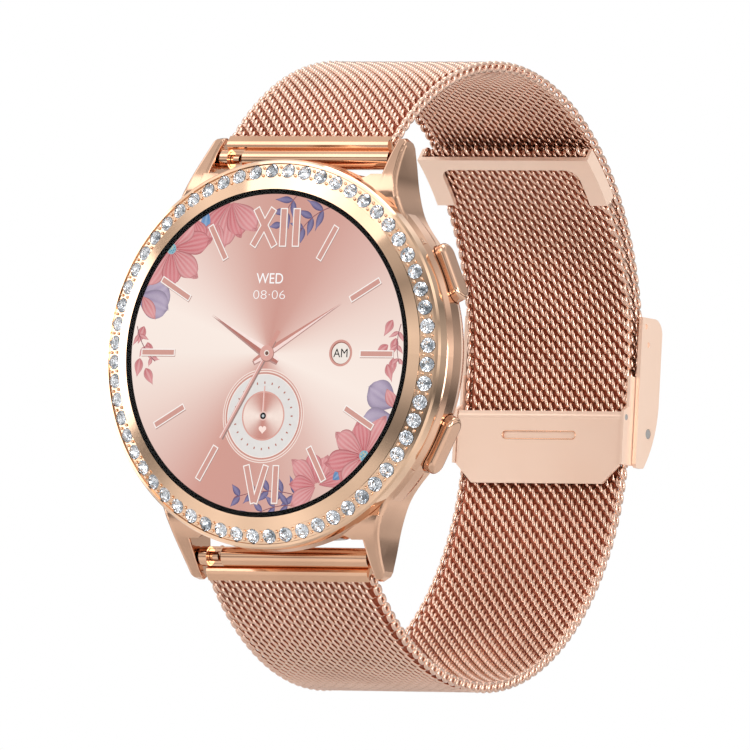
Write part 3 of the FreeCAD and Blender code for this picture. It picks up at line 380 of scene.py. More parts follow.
bm = bmesh.new(); bmesh.ops.create_icosphere(bm, subdivisions=2, radius=1.0); bm.to_mesh(ico); bm.free()
bead_v = np.array([v.co[:] for v in ico.vertices]); bead_f = [list(f.vertices) for f in ico.polygons]
bpy.data.meshes.remove(ico)
COUNT = 60
for i in range(COUNT):
    a = 2 * math.pi * (i + 0.5) / COUNT
    rad = np.array([math.cos(a), 0, math.sin(a)])
    out = rad * math.sin(tilt) + np.array([0, -math.cos(tilt), 0])
    slope = rad * math.cos(tilt) + np.array([0, math.sin(tilt), 0])
    side = np.cross(out, slope)
    spin = rng.uniform(0, 0.8)
    e1 = slope * math.cos(spin) + side * math.sin(spin)
    e2 = np.cross(out, e1)
    c = rad * 18.3 + np.array([0, FY + 0.75, 0])
    base = len(V) and sum(len(q) for q in V)
    V.append(c + st_v[:, :1] * e1 + st_v[:, 1:2] * e2 + st_v[:, 2:] * out)
    F += [[q + base for q in f] for f in st_f]
    M += st_m
    # two bead prongs in the gap to the next stone
    a2 = 2 * math.pi * (i + 1) / COUNT
    rad2 = np.array([math.cos(a2), 0, math.sin(a2)])
    out2 = rad2 * math.sin(tilt) + np.array([0, -math.cos(tilt), 0])
    slope2 = rad2 * math.cos(tilt) + np.array([0, math.sin(tilt), 0])
    for q in (-0.42, 0.42):
        c2 = rad2 * 18.3 + np.array([0, FY + 0.75, 0]) + slope2 * q + out2 * 0.02
        base = sum(len(w) for w in PV)
        PV.append(c2 + bead_v * 0.17)
        PF += [[w + base for w in f] for f in bead_f]
stones = build("bezel_stones_cut", np.concatenate(V), F, None, "case", smooth=False, mats=[crystal, foil], index=M)
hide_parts("bezel_stones")
build("bezel_bead_prongs", np.concatenate(PV), PF, MAT["bezel_metal"], "case")
# Bridge of metal under the prongs, between neighbouring stones.
BV, BF = [], []
for i in range(COUNT):
    a2 = 2 * math.pi * (i + 1) / COUNT
    rad2 = np.array([math.cos(a2), 0, math.sin(a2)])
    out2 = rad2 * math.sin(tilt) + np.array([0, -math.cos(tilt), 0])
    slope2 = rad2 * math.cos(tilt) + np.array([0, math.sin(tilt), 0])
    side2 = np.cross(out2, slope2)
    c2 = rad2 * 18.3 + np.array([0, FY + 0.75, 0])
    base = len(BV) * 1
    prof = []
    N = 9
    for top in (-0.05, -0.7):
        for sg in (-1, 1):
            for k in range(N):
                u = -0.78 + 1.56 * k / (N - 1)
                half = 0.96 - math.sqrt(max(0.0, 0.765 ** 2 - u * u)) if abs(u) < 0.765 else 0.96
                half = max(0.05, min(half, 0.9)) if abs(u) < 0.765 else 0.9
                half = min(half, 0.86)
                prof.append(c2 + slope2 * u + side2 * sg * half + out2 * top)
    BV += prof
    q = lambda t, s_, k: base + (t * 2 + s_) * N + k
    for k in range(N - 1):
        BF += [[q(0, 0, k), q(0, 0, k + 1), q(0, 1, k + 1), q(0, 1, k)],
               [q(1, 0, k), q(1, 1, k), q(1, 1, k + 1), q(1, 0, k + 1)],
               [q(0, 0, k), q(1, 0, k), q(1, 0, k + 1), q(0, 0, k + 1)],
               [q(0, 1, k), q(0, 1, k + 1), q(1, 1, k + 1), q(1, 1, k)]]
    BF += [[q(0, 0, 0), q(0, 1, 0), q(1, 1, 0), q(1, 0, 0)], [q(0, 0, N - 1), q(1, 0, N - 1), q(1, 1, N - 1), q(0, 1, N - 1)]]
build("bezel_seat_bridges", np.array(BV), BF, MAT["bezel_metal"], "case", smooth=False)

# ------------------------------------------------------------------ glass
gl = bpy.data.materials.new("cover_glass_clear")
gl.use_nodes = True
nt = gl.node_tree
for nd in list(nt.nodes):
    nt.nodes.remove(nd)
outn = nt.nodes.new("ShaderNodeOutputMaterial")
tr = nt.nodes.new("ShaderNodeBsdfTransparent")
go = nt.nodes.new("ShaderNodeBsdfGlossy")
go.inputs["Roughness"].default_value = 0.02
fr = nt.nodes.new("ShaderNodeFresnel")
fr.inputs["IOR"].default_value = 1.25
mx = nt.nodes.new("ShaderNodeMixShader")
# Only the side a ray enters by reflects: the clear plate does not bend light.
gf = nt.nodes.new("ShaderNodeNewGeometry")
away = nt.nodes.new("ShaderNodeMath"); away.operation = "SUBTRACT"; away.inputs[0].default_value = 1.0
only = nt.nodes.new("ShaderNodeMath"); only.operation = "MULTIPLY"
link(nt, gf.outputs["Backfacing"], away.inputs[1])
link(nt, fr.outputs["Fac"], only.inputs[0]); link(nt, away.outputs[0], only.inputs[1])
link(nt, only.outputs[0], mx.inputs["Fac"])
link(nt, tr.outputs["BSDF"], mx.inputs[1]); link(nt, go.outputs["BSDF"], mx.inputs[2])
link(nt, mx.outputs["Shader"], outn.inputs["Surface"])


def lathe(name, prof, mat, body, n=192, smooth=False):
    """Closed profile (radius, depth) turned about the dial axis."""
    verts, faces = [], []
    m = len(prof)
    for i in range(n):
        a = 2 * math.pi * i / n
        for r, dep in prof:
            verts.append((r * math.cos(a), FY + dep, r * math.sin(a)))
    for i in range(n):
        j = (i + 1) % n
        for k in range(m):
            l = (k + 1) % m
            faces.append([i * m + k, j * m + k, j * m + l, i * m + l])
    return build(name, verts, faces, mat, body, smooth=smooth)


def disc_prism(name, r, dep0, dep1, mat, body, n=192, bevel=0.0):
    prof = [(r - bevel, dep0), (r, dep0 + bevel), (r, dep1)] if bevel else [(r, dep0), (r, dep1)]
    verts, faces = [], []
    m = len(prof)
    for i in range(n):
        a = 2 * math.pi * i / n
        for rr, dep in prof:
            verts.append((rr * math.cos(a), FY + dep, rr * math.sin(a)))
    for i in range(n):
        j = (i + 1) % n
        for k in range(m - 1):
            faces.append([i * m + k, j * m + k, j * m + k + 1, i * m + k + 1])
    faces.append([i * m for i in range(n)][::-1])
    faces.append([i * m + m - 1 for i in range(n)])
    return build(name, verts, faces, mat, body, smooth=False)


glass = disc_prism("cover_glass_plate", 16.36, -0.2, -0.06, gl, "case", bevel=0.12)
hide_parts("cover_glass")
black = plastic("black_print", "#030303", 0.6, 0.0, 2500.0, 0.0)
black.node_tree.nodes["Principled BSDF"].inputs["Specular IOR Level"].default_value = 0.05
lathe("glass_black_border", [(15.93, -0.01), (16.43, -0.01), (16.43, 0.24), (15.93, 0.24)], black, "case")

# ------------------------------------------------------------ dial picture
dial = bpy.data.materials.new("display_gradient")
dial.use_nodes = True
nt = dial.node_tree
for nd in list(nt.nodes):
    nt.nodes.remove(nd)
outn = nt.nodes.new("ShaderNodeOutputMaterial")
em = nt.nodes.new("ShaderNodeEmission")
tc = nt.nodes.new("ShaderNodeTexCoord")
sp = nt.nodes.new("ShaderNodeSeparateXYZ")
at = nt.nodes.new("ShaderNodeMath"); at.operation = "ARCTAN2"
mr = nt.nodes.new("ShaderNodeMapRange")
mr.inputs["From Min"].default_value = -math.pi
mr.inputs["From Max"].default_value = math.pi
rp = nt.nodes.new("ShaderNodeValToRGB")
stops = [(-180, "#f9eae1"), (-160, "#f1d9cf"), (-140, "#e4c1b7"), (-118, "#d49e92"), (-98, "#d29d92"), (-80, "#daaea3"),
         (-60, "#e3bfb5"), (-40, "#f3ded5"), (-20, "#fbece3"), (0, "#f9e8df"), (20, "#efd5cb"), (40, "#e1bab0"), (60, "#d5a499"),
         (80, "#d09b90"), (100, "#d7a79c"), (120, "#e4c0b6"), (140, "#f2dad1"), (160, "#fbece3"), (180, "#f9eae1")]
els = rp.color_ramp.elements
while len(els) > 1:
    els.remove(els[-1])
els[0].position = 0.0; els[0].color = srgb(stops[0][1])
for a, cc in stops[1:]:
    e = els.new((a + 180) / 360); e.color = srgb(cc)
link(nt, tc.outputs["Object"], sp.inputs["Vector"])
link(nt, sp.outputs["Z"], at.inputs[0]); link(nt, sp.outputs["X"], at.inputs[1])
link(nt, at.outputs[0], mr.inputs["Value"]); link(nt, mr.outputs["Result"], rp.inputs["Fac"])
link(nt, rp.outputs["Color"], em.inputs["Color"])
link(nt, em.outputs["Emission"], outn.inputs["Surface"])
disc_prism("dial_background", 16.2, 0.27, 0.295, dial, "case")

art = bpy.data.materials.new("display_art")
art.use_nodes = True
nt = art.node_tree
for nd in list(nt.nodes):
    nt.nodes.remove(nd)
outn = nt.nodes.new("ShaderNodeOutputMaterial")
em = nt.nodes.new("ShaderNodeEmission")
ca = nt.nodes.new("ShaderNodeVertexColor"); ca.layer_name = "Col"
tc = nt.nodes.new("ShaderNodeTexCoord")
no = nt.nodes.new("ShaderNodeTexNoise"); no.inputs["Scale"].default_value = 2600.0; no.inputs["Detail"].default_value = 4.0
wash = nt.nodes.new("ShaderNodeMapRange"); wash.inputs["To Min"].default_value = 0.93; wash.inputs["To Max"].default_value = 1.05
mul = nt.nodes.new("ShaderNodeMix"); mul.data_type = "RGBA"; mul.blend_type = "MULTIPLY"; mul.inputs["Factor"].default_value = 1.0
link(nt, tc.outputs["Object"], no.inputs["Vector"]); link(nt, no.outputs["Fac"], wash.inputs["Value"])
link(nt, ca.outputs["Color"], mul.inputs["A"]); link(nt, wash.outputs["Result"], mul.inputs["B"])
link(nt, mul.outputs["Result"], em.inputs["Color"]); link(nt, em.outputs["Emission"], outn.inputs["Surface"])


class Art:
    """Thin closed shapes laid on the display, coloured by vertex."""

    def __init__(self):
        self.v, self.f, self.c = [], [], []

    def add(self, pts, cols, faces, outline, dep):
        """pts (n,2), flat mesh; outline: ordered boundary indices. Gets a thin back."""
        n = len(pts)
        base = len(self.v)
        p = []
        for x, z in pts:
            r = math.hypot(x, z)
            if r > 16.02:
                x, z = x * 16.02 / r, z * 16.02 / r
            p.append((x, z))
        for d_ in (dep, dep + 0.0005):
            for (x, z), c in zip(p, cols):
                self.v.append((x, FY + d_, z)); self.c.append(c)
        for f in faces:
            self.f.append([base + q for q in f])
            self.f.append([base + n + q for q in reversed(f)])
        m = len(outline)
        for i in range(m):
            a, b = outline[i], outline[(i + 1) % m]
            self.f.append([base + a, base + n + a, base + n + b, base + b])

    def poly(self, pts, color, dep):
        c = srgb(color) if isinstance(color, str) else color
        self.add(pts, [c] * len(pts), [list(range(len(pts)))], list(range(len(pts))), dep)

    def annulus(self, cx, cz, r0, r1, color, dep, n=96):
        c = srgb(color) if isinstance(color, str) else None
        pts, cols, faces = [], [], []
        for i in range(n):
            a = 2 * math.pi * i / n
            col = c or color(a)
            pts += [(cx + r0 * math.cos(a), cz + r0 * math.sin(a)), (cx + r1 * math.cos(a), cz + r1 * math.sin(a))]
            cols += [col, col]
        for i in range(n):
            j = (i + 1) % n
            faces.append([2 * i, 2 * i + 1, 2 * j + 1, 2 * j])
        base = len(self.v)
        m = len(pts)
        for d_ in (dep, dep + 0.0005):
            for (x, z), cc in zip(pts, cols):
                self.v.append((x, FY + d_, z)); self.c.append(cc)
        for f in faces:
            self.f.append([base + q for q in f]); self.f.append([base + m + q for q in reversed(f)])
        for i in range(n):
            j = (i + 1) % n
            self.f.append([base + 2 * i, base + 2 * j, base + m + 2 * j, base + m + 2 * i])
            self.f.append([base + 2 * i + 1, base + m + 2 * i + 1, base + m + 2 * j + 1, base + 2 * j + 1])

    def petal(self, x, z, ang, length, width, c_in, c_mid, c_out, dep, veins=5, curve=0.0, point=0.0, nu=14, nv=10):
        """Leaf or petal: base at (x, z), pointing along ang (degrees)."""
        ci, cm, co = (np.array(srgb(q)) for q in (c_in, c_mid, c_out))
        edge = ci * 0.55
        a = math.radians(ang)
        ux, uz = math.cos(a), math.sin(a)
        wx, wz = -uz, ux
        pts, cols = [], []
        for i in range(nu + 1):
            u = i / nu
            w = width / 2 * (math.sin(math.pi * min(1.0, u ** (1.55 - 0.8 * point))) ** (0.55 + 0.55 * point)) if 0 < u < 1 else width * 0.02
            bend = curve * length * u * u
            for j in range(nv + 1):
                v = -1 + 2 * j / nv
                wob = 1 + 0.05 * math.sin(7 * v + 5 * u + x)
                L = length * u * (1 - 0.06 * v * v) * wob if i else 0
                pts.append((x + ux * L + wx * (v * w + bend), z + uz * L + wz * (v * w + bend)))
                vein = 0.5 + 0.5 * math.cos(veins * math.pi * v)
                col = ci * (1 - u) ** 1.6 + cm * (1 - (1 - u) ** 1.6)
                col = col * (1 - 0.45 * vein * (1 - 0.4 * u)) + co * (0.45 * vein * (1 - 0.4 * u))
                rim = max(abs(v) ** 8, u ** 16)
                col = col * (1 - 0.55 * rim) + edge * 0.55 * rim
                col[3] = 1
                cols.append(tuple(col))
        faces = []
        W = nv + 1
        for i in range(nu):
            for j in range(nv):
                faces.append([i * W + j, i * W + j + 1, (i + 1) * W + j + 1, (i + 1) * W + j])
        outline = [j for j in range(W)] + [i * W + nv for i in range(1, nu + 1)] + [nu * W + j for j in range(nv - 1, -1, -1)] \
            + [i * W for i in range(nu - 1, 0, -1)]
        self.add(pts, cols, faces, outline[::-1], dep)


A = Art()
ROSE, PALE, WHITE = "#D39E93", "#FBEDE6", "#FFFBF8"
D = {"flower": 0.25}
dep = [0.262]


def nxt():
    dep[0] -= 0.0009
    return dep[0]


PK = ("#B84F57", "#D88489", "#F2C9C8")
PK2 = ("#BE5E64", "#DF9799", "#F5D6D3")
LIL = ("#7D6E90", "#B6A6BE", "#DDD0DC")
PUR = ("#4F4A78", "#7F769E", "#ABA1BF")
BLU = ("#3F6FA8", "#7CA3CC", "#C4D6E8")


def flower(x, z, size, angs, pal, centre=True, wide=0.62):
    for k, a in enumerate(angs):
        A.petal(x + 0.25 * math.cos(math.radians(a)), z + 0.25 * math.sin(math.radians(a)), a, size * (0.92 + 0.12 * ((k * 7) % 3)),
                size * wide, *(pal if k % 2 else PK2 if pal is PK else pal), nxt(), veins=5)
    if centre:
        A.annulus(x, z, 0.0001, 0.56, "#8FB9C6", nxt(), 32)
        for k in range(14):
            a = k * 2.399
            r = 0.13 * math.sqrt(k)
            A.annulus(x + r * math.cos(a), z + r * math.sin(a), 0.0001, 0.075, "#5E8FA8" if k % 3 else "#D9C08A", nxt(), 10)
        for k in range(12):
            a = 2 * math.pi * k / 12 + 0.2
            A.poly([(x + 0.6 * math.cos(a - 0.05), z + 0.6 * math.sin(a - 0.05)), (x + 1.15 * math.cos(a), z + 1.15 * math.sin(a)),
                    (x + 0.6 * math.cos(a + 0.05), z + 0.6 * math.sin(a + 0.05))], "#A8323F", nxt())


def spray(x, z, ang, n, length, pal, leaf=1.5):
    """Curved stem with pairs of leaves."""
    a = math.radians(ang)
    for k in range(n):
        t = (k + 0.6) / n
        px, pz = x + length * t * math.cos(a + 0.35 * t), z + length * t * math.sin(a + 0.35 * t)
        for sg in (-1, 1):
            A.petal(px, pz, ang + 20 * t + sg * 48, leaf * (1.1 - 0.4 * t), leaf * 0.34, *pal, nxt(), veins=1, point=1.0, nu=8, nv=4)
    m = 10
    L, R = [], []
    for k in range(m + 1):
        t = k / m
        px, pz = x + length * t * math.cos(a + 0.35 * t), z + length * t * math.sin(a + 0.35 * t)
        L.append((px - 0.045 * math.sin(a), pz + 0.045 * math.cos(a))); R.append((px + 0.045 * math.sin(a), pz - 0.045 * math.cos(a)))
    A.poly(L + R[::-1], "#8C5A63", nxt())


# Upper left group
spray(2.6, 15.9, 222, 3, 4.0, PUR, 2.1)
spray(6.4, 14.6, 196, 3, 4.2, PUR, 2.2)
flower(-5.2, 15.2, 3.9, (205, 235, 262, 290, 318), PK, False)
A.petal(-7.9, 14.2, 262, 2.4, 1.1, *BLU, nxt(), veins=2, point=0.7)
A.petal(-7.3, 13.0, 250, 3.2, 1.3, *PK2, nxt(), veins=3, point=1.0)
A.petal(-6.7, 12.9, 285, 2.6, 1.1, *PK2, nxt(), veins=3, point=1.0)
A.petal(-9.4, 13.3, 300, 2.2, 1.8, *PK, nxt())
A.petal(-15.1, 4.9, 30, 3.6, 3.6, *LIL, nxt(), veins=4)
A.petal(-15.6, 5.6, -20, 3.9, 3.0, *LIL, nxt(), veins=4)
A.petal(-15.0, 5.6, -55, 2.8, 1.4, *PK2, nxt(), veins=3, point=0.6)
flower(-11.9, 10.4, 3.9, (152, 195, 232, 275, 318, 12, 52, 95), PK)
# Leaf sprigs at nine and three
for x, z, a, q in ((-14.6, 2.6, 250, 1), (-14.1, 1.0, 285, 1), (-14.9, -0.6, 262, 1), (-14.2, -1.6, 300, 1)):
    A.petal(x, z, a, 1.9, 1.0, *PK2, nxt(), veins=2, point=1.0)
spray(-15.4, 2.6, 283, 3, 4.2, PK2, 1.3)
for x, z, a in ((14.4, 3.4, 240), (14.9, 1.6, 255), (14.0, 0.9, 215), (14.7, -0.4, 265), (14.0, -1.0, 290)):
    A.petal(x, z, a, 1.9, 0.95, *PK2, nxt(), veins=2, point=1.0)
spray(15.4, 3.0, 250, 3, 4.0, PK2, 1.3)
# Lower right group
A.petal(15.3, -5.2, 150, 3.8, 3.2, *LIL, nxt(), veins=4)
A.petal(15.2, -6.4, 190, 3.9, 3.0, *LIL, nxt(), veins=4)
A.petal(15.2, -5.4, 120, 2.2, 1.3, *PK2, nxt(), veins=3, point=0.6)
spray(5.2, -14.5, 160, 5, 8.2, PUR, 2.1)
spray(4.2, -15.2, 176, 4, 6.0, PUR, 1.9)
flower(6.6, -13.2, 3.2, (70, 105, 140, 178, 215, 20), PK, False)
A.petal(8.0, -11.9, 62, 3.0, 1.2, *PK2, nxt(), veins=3, point=0.9)
A.petal(8.4, -12.6, 40, 2.0, 1.0, *BLU, nxt(), veins=2, point=0.9)
A.petal(9.6, -13.2, 80, 2.6, 1.8, *PK, nxt())
flower(11.9, -10.2, 3.7, (338, 18, 60, 102, 146, 190, 232, 285), PK)
print("flowers depth", dep[0])


def bar(x0, z0, x1, z1, w, grow=0.0):
    a = math.atan2(z1 - z0, x1 - x0)
    ux, uz = math.cos(a), math.sin(a)
    x0, z0, x1, z1 = x0 - ux * grow, z0 - uz * grow, x1 + ux * grow, z1 + uz * grow
    h = w / 2 + grow
    return [(x0 - uz * h, z0 + ux * h), (x0 + uz * h, z0 - ux * h), (x1 + uz * h, z1 - ux * h), (x1 - uz * h, z1 + ux * h)]


def raised(polys):
    """Marks with a soft shadow, a white rim and a rose face; polys(grow) gives outlines."""
    for pts in polys(0.12):
        A.poly([(x + 0.05, z - 0.07) for x, z in pts], "#B9958D", nxt())
    for pts in polys(0.11):
        A.poly(pts, "#FDF5F0", nxt())
    for pts in polys(0.0):
        A.poly(pts, ROSE, nxt())


for hour in (1, 2, 3, 4, 5, 7, 8, 9, 10, 11):
    a = math.radians(90 - 30 * hour)
    c, s = math.cos(a), math.sin(a)
    raised(lambda g, c=c, s=s: [bar(10.9 * c, 10.9 * s, 14.6 * c, 14.6 * s, 0.5, g)])
raised(lambda g: [bar(-2.05, 14.4, 0.15, 10.75, 0.62, g), bar(-0.1, 14.4, -2.3, 10.75, 0.58, g),
                  bar(1.15, 14.4, 1.15, 10.75, 0.62, g), bar(2.65, 14.4, 2.65, 10.75, 0.62, g)])
raised(lambda g: [bar(-1.7, -11.3, -0.7, -14.95, 0.55, g), bar(0.55, -11.3, -0.55, -14.95, 0.5, g), bar(1.75, -11.3, 1.75, -14.95, 0.55, g)])

# Sub-dial
sx, sz = -0.04, -6.29


def sheen(a):
    t = 0.5 + 0.5 * math.cos(2 * (a - math.radians(178)))
    c0, c1 = np.array(srgb("#CB8F84")), np.array(srgb("#F8E4DA"))
    return tuple(c0 * (1 - t) + c1 * t)


A.annulus(sx, sz, 4.38, 4.72, "#F7E3DA", nxt())
A.annulus(sx, sz, 4.5, 4.62, "#D9A99E", nxt())
A.annulus(sx, sz, 4.15, 4.38, "#CF978B", nxt())
A.annulus(sx, sz, 4.08, 4.2, "#FBEFE9", nxt())
A.annulus(sx, sz, 2.4, 4.12, "#E5E1DE", nxt())
A.annulus(sx, sz, 2.3, 2.48, "#DDA79C", nxt())
A.annulus(sx, sz, 0.001, 2.32, sheen, nxt())
for k in range(24):
    a = 2 * math.pi * k / 24
    c, s = math.cos(a), math.sin(a)
    A.poly(bar(sx + 3.2 * c, sz + 3.2 * s, sx + 3.44 * c, sz + 3.44 * s, 0.14), "#B8776B", nxt())
A.poly([(sx - 0.13, sz + 0.3), (sx + 0.13, sz + 0.3), (sx + 0.08, sz + 3.0), (sx - 0.08, sz + 3.0)], "#F3D2CB", nxt())
A.poly([(sx, sz + 0.3), (sx + 0.13, sz + 0.3), (sx + 0.08, sz + 3.0), (sx, sz + 3.0)], "#D9A196", nxt())
A.annulus(sx, sz, 0.30, 0.46, "#F1CBC2", nxt(), 40)
A.annulus(sx, sz, 0.12, 0.34, "#2A2B2C", nxt(), 40)
A.annulus(sx, sz, 0.001, 0.14, "#C9CFD2", nxt(), 24)
hp = []
for k in range(28):
    t = 2 * math.pi * k / 28
    hp.append((sx + 0.028 * 16 * math.sin(t) ** 3, sz - 1.35 + 0.028 * (13 * math.cos(t) - 5 * math.cos(2 * t) - 2 * math.cos(3 * t) - math.cos(4 * t))))
A.poly(hp, "#FFE6DD", nxt())

# Morning badge
A.annulus(8.62, 0.05, 0.001, 1.34, "#D59C91", nxt(), 64)
A.annulus(8.62, 0.05, 0.001, 1.12, "#9C6459", nxt(), 64)
A.annulus(8.66, 0.02, 0.001, 1.05, "#F3E9E0", nxt(), 64)

# Hands
def hand(x, z, w0, w1, tail, hi, lo):
    a = math.atan2(z, x)
    L = math.hypot(x, z)
    ux, uz = math.cos(a), math.sin(a)
    P = lambda u, v: (ux * u - uz * v, uz * u + ux * v)
    sh = [P(-tail, -w1), P(-tail, w1), P(0, w0), P(L, 0), P(0, -w0)]
    A.poly([(q[0] - 0.06, q[1] - 0.16) for q in sh], "#B8908A", nxt())
    top, bot = [P(-tail, 0), P(-tail, w1), P(0, w0), P(L, 0)], [P(-tail, 0), P(L, 0), P(0, -w0), P(-tail, -w1)]
    A.poly(top[::-1], hi, nxt())
    A.poly(bot[::-1], lo, nxt())


hand(8.6, 5.16, 0.42, 0.25, 1.7, "#C98C81", "#F9DDD7")
hand(-6.58, 3.84, 0.5, 0.28, 1.6, "#B97A70", "#FBE6E0")
a = math.atan2(-8.55, -4.89)
ux, uz = math.cos(a), math.sin(a)
for w, col, off in ((0.4, "#A58680", (0.14, -0.08)), (0.34, "#D9A39A", (0, 0)), (0.12, "#F7D9D3", (-0.07, 0.03))):
    A.poly([(q[0] + off[0], q[1] + off[1]) for q in bar(-1.5 * ux, -1.5 * uz, 9.85 * ux, 9.85 * uz, w)], col, nxt())
A.poly(bar(-2.6 * ux, -2.6 * uz, -0.2 * ux, -0.2 * uz, 0.5), "#D49A8F", nxt())
A.annulus(0.05, -0.07, 0.001, 0.82, "#A87C72", nxt(), 48)
A.annulus(0.0, 0.0, 0.001, 0.78, "#DDA69C", nxt(), 48)
A.annulus(0.0, 0.0, 0.001, 0.3, "#F5E8E0", nxt(), 32)
A.annulus(0.02, -0.02, 0.001, 0.2, "#7A5A50", nxt(), 32)
print("art depth", dep[0])
build("dial_art", A.v, A.f, art, "case", smooth=False, colors=A.c)


def text(name, body_text, x, z, size, color, dep_, squeeze=1.0, weight=0.0):
    cu = bpy.data.curves.new(name, "FONT")
    cu.body = body_text
    cu.size = size * MM
    cu.align_x = "CENTER"; cu.align_y = "CENTER"
    cu.extrude = 0.003 * MM
    cu.offset = weight * MM
    tmp = bpy.data.objects.new(name + "_tmp", cu)
    bpy.context.scene.collection.objects.link(tmp)
    bpy.context.view_layer.update()
    dg = bpy.context.evaluated_depsgraph_get()
    me = bpy.data.meshes.new_from_object(tmp.evaluated_get(dg))
    bpy.data.objects.remove(tmp)
    M_ = Matrix.Translation((x * MM, (FY + dep_) * MM, z * MM)) @ Matrix.Rotation(math.pi / 2, 4, "X") @ Matrix.Diagonal((squeeze, 1, 1, 1))
    me.transform(M_)
    me.materials.clear(); me.materials.append(art)
    c = srgb(color)
    for q in list(me.color_attributes):
        me.color_attributes.remove(q)
    att = me.color_attributes.new("Col", "FLOAT_COLOR", "POINT")
    att.data.foreach_set("color", np.tile(np.array(c, dtype=np.float32), len(me.vertices)))
    ob = bpy.data.objects.new(name, me)
    bpy.context.scene.collection.objects.link(ob)
    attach(ob, "case")
    return ob


text("dial_weekday", "WED", -0.05, 7.4, 1.5, "#FFFFFF", dep[0] - 0.01, 0.92)
text("dial_date", "08·06", -0.05, 5.78, 1.3, "#FFFFFF", dep[0] - 0.01, 1.32, -0.028)
text("dial_morning", "AM", 8.66, 0.0, 1.25, "#141312", dep[0] - 0.01, 0.95)

# ------------------------------------------------------------------ stage
floor_m, nt, p = new_mat("pale_floor")
outn = [q for q in nt.nodes if q.type == "OUTPUT_MATERIAL"][0]
p.inputs["Base Color"].default_value = (0.9, 0.9, 0.9, 1)
p.inputs["Roughness"].default_value = 0.6
geo = nt.nodes.new("ShaderNodeNewGeometry")
tr = nt.nodes.new("ShaderNodeBsdfTransparent")
mx = nt.nodes.new("ShaderNodeMixShader")
lp = nt.nodes.new("ShaderNodeLightPath")
big = nt.nodes.new("ShaderNodeMath"); big.operation = "MAXIMUM"
part = nt.nodes.new("ShaderNodeMath"); part.operation = "MULTIPLY"; part.inputs[1].default_value = 0.4
link(nt, lp.outputs["Is Glossy Ray"], part.inputs[0])
link(nt, geo.outputs["Backfacing"], big.inputs[0]); link(nt, part.outputs[0], big.inputs[1])
tcf = nt.nodes.new("ShaderNodeTexCoord")
flat = nt.nodes.new("ShaderNodeMapping"); flat.inputs["Scale"].default_value = (1, 1, 0)
far = nt.nodes.new("ShaderNodeVectorMath"); far.operation = "LENGTH"
link(nt, tcf.outputs["Object"], flat.inputs["Vector"]); link(nt, flat.outputs["Vector"], far.inputs[0])
fade = nt.nodes.new("ShaderNodeMapRange"); fade.interpolation_type = "SMOOTHSTEP"
fade.inputs["From Min"].default_value = 0.06; fade.inputs["From Max"].default_value = 0.26
link(nt, far.outputs["Value"], fade.inputs["Value"])
big2 = nt.nodes.new("ShaderNodeMath"); big2.operation = "MAXIMUM"
link(nt, big.outputs[0], big2.inputs[0]); link(nt, fade.outputs["Result"], big2.inputs[1])
link(nt, big2.outputs[0], mx.inputs["Fac"])
link(nt, p.outputs["BSDF"], mx.inputs[1]); link(nt, tr.outputs["BSDF"], mx.inputs[2])
link(nt, mx.outputs["Shader"], outn.inputs["Surface"])
me = bpy.data.meshes.new("floor")
zf = -0.0505         # clear of the lower band when the strap is opened
me.from_pydata([(-0.4, -0.4, zf), (0.4, -0.4, zf), (0.4, 0.4, zf), (-0.4, 0.4, zf)], [], [(0, 1, 2, 3)])
me.materials.append(floor_m)
floor = bpy.data.objects.new("floor", me)
bpy.context.scene.collection.objects.link(floor)

world = bpy.data.worlds.new("studio")
bpy.context.scene.world = world
world.use_nodes = True
nt = world.node_tree
for nd in list(nt.nodes):
    nt.nodes.remove(nd)
outn = nt.nodes.new("ShaderNodeOutputWorld")
tc = nt.nodes.new("ShaderNodeTexCoord")
sp = nt.nodes.new("ShaderNodeSeparateXYZ")
link(nt, tc.outputs["Generated"], sp.inputs["Vector"])


def wramp(src, stops):
    r = nt.nodes.new("ShaderNodeMapRange")
    r.inputs["From Min"].default_value = -1.0
    r.inputs["From Max"].default_value = 1.0
    link(nt, src, r.inputs["Value"])
    q = nt.nodes.new("ShaderNodeValToRGB")
    e = q.color_ramp.elements
    e[0].position = stops[0][0]; e[0].color = (stops[0][1],) * 3 + (1,)
    e[1].position = stops[-1][0]; e[1].color = (stops[-1][1],) * 3 + (1,)
    for pos, val in stops[1:-1]:
        n_ = e.new(pos); n_.color = (val,) * 3 + (1,)
    link(nt, r.outputs["Result"], q.inputs["Fac"])
    return q.outputs["Color"]


vz = wramp(sp.outputs["Z"], [(0.0, 0.45), (0.12, 0.18), (0.2, 0.7), (0.3, 0.8), (0.37, 0.1), (0.44, 0.3), (0.5, 0.75), (0.57, 0.95), (0.66, 0.3), (0.78, 1.0), (0.9, 0.95), (1.0, 0.5)])
vx = wramp(sp.outputs["X"], [(0.0, 0.9), (0.14, 1.0), (0.22, 0.5), (0.30, 0.95), (0.40, 0.3), (0.5, 0.9), (0.6, 0.35), (0.68, 0.75), (0.74, 0.42), (0.8, 0.5), (0.88, 1.0), (1.0, 0.85)])
mul = nt.nodes.new("ShaderNodeMix"); mul.data_type = "RGBA"; mul.blend_type = "MULTIPLY"; mul.inputs["Factor"].default_value = 1.0
link(nt, vz, mul.inputs["A"]); link(nt, vx, mul.inputs["B"])
bg1 = nt.nodes.new("ShaderNodeBackground"); bg1.inputs["Strength"].default_value = 1.5
link(nt, mul.outputs["Result"], bg1.inputs["Color"])
bg2 = nt.nodes.new("ShaderNodeBackground"); bg2.inputs["Color"].default_value = (1, 1, 1, 1); bg2.inputs["Strength"].default_value = 1.0
lp = nt.nodes.new("ShaderNodeLightPath")
mx = nt.nodes.new("ShaderNodeMixShader")
link(nt, lp.outputs["Is Camera Ray"], mx.inputs["Fac"])
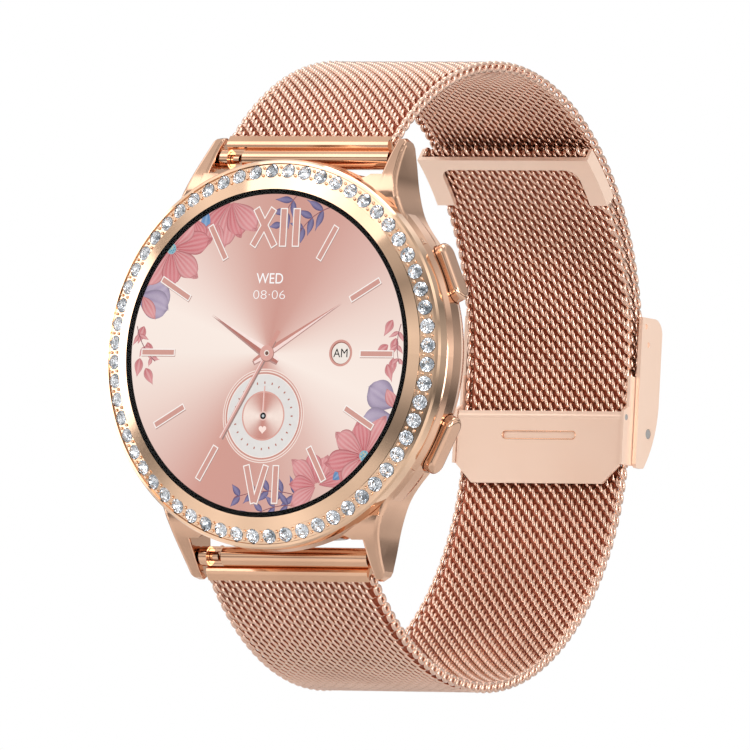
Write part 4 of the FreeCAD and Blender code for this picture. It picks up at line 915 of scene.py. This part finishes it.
link(nt, bg1.outputs["Background"], mx.inputs[1]); link(nt, bg2.outputs["Background"], mx.inputs[2])
link(nt, mx.outputs["Shader"], outn.inputs["Surface"])


def area(name, loc, target, sx_, sy_, power):
    li = bpy.data.lights.new(name, "AREA")
    li.shape = "RECTANGLE"; li.size = sx_; li.size_y = sy_; li.energy = power
    ob = bpy.data.objects.new(name, li)
    bpy.context.scene.collection.objects.link(ob)
    ob.location = loc
    d_ = Vector(target) - Vector(loc)
    ob.rotation_euler = d_.to_track_quat("-Z", "Y").to_euler()
    return ob


area("key", (-0.35, -0.75, 0.75), (0, 0, 0), 0.7, 0.6, 1.7)
area("right_strip", (0.85, -0.35, 0.2), (0, 0, 0), 0.15, 0.7, 2.5)
area("top", (0.0, 0.15, 0.9), (0, 0, 0), 0.6, 0.5, 2.5)
area("left_strip", (-0.8, -0.3, 0.05), (0, 0, 0), 0.18, 0.7, 0.8)
area("inside", (0.55, -0.75, -0.02), (0, 0.02, 0), 0.35, 0.3, 1.6)

# ----------------------------------------------------------------- camera
out_dir = Vector((0.519, -0.852, -0.073)).normalized()
right = Vector((0.8548, 0.5163, 0.0522))
upv = Vector((-0.0075, -0.0902, 0.9959))
right = (right - out_dir * right.dot(out_dir)).normalized()
upv = out_dir.cross(right).normalized()
S = 10.04 * 1000                       # pixels per metre at the dial
dial_c = Vector((0, FY * MM, 0))
dist = 2.7
# picture centre (375, 375) as a point in the dial plane's depth
aim = dial_c + right * ((375 - 266.46) / S) + upv * (-(375 - 352.90) / S)
cam_d = bpy.data.cameras.new("camera")
cam_d.sensor_width = 36.0
cam_d.lens = 36.0 * dist / (750 / S)
cam_d.clip_start = 0.05; cam_d.clip_end = 50
cam = bpy.data.objects.new("camera", cam_d)
bpy.context.scene.collection.objects.link(cam)
R = Matrix((right, upv, out_dir)).transposed()
cam.matrix_world = Matrix.Translation(aim + out_dir * dist) @ R.to_4x4()
bpy.context.scene.camera = cam
bpy.context.scene.view_settings.view_transform = "Standard"
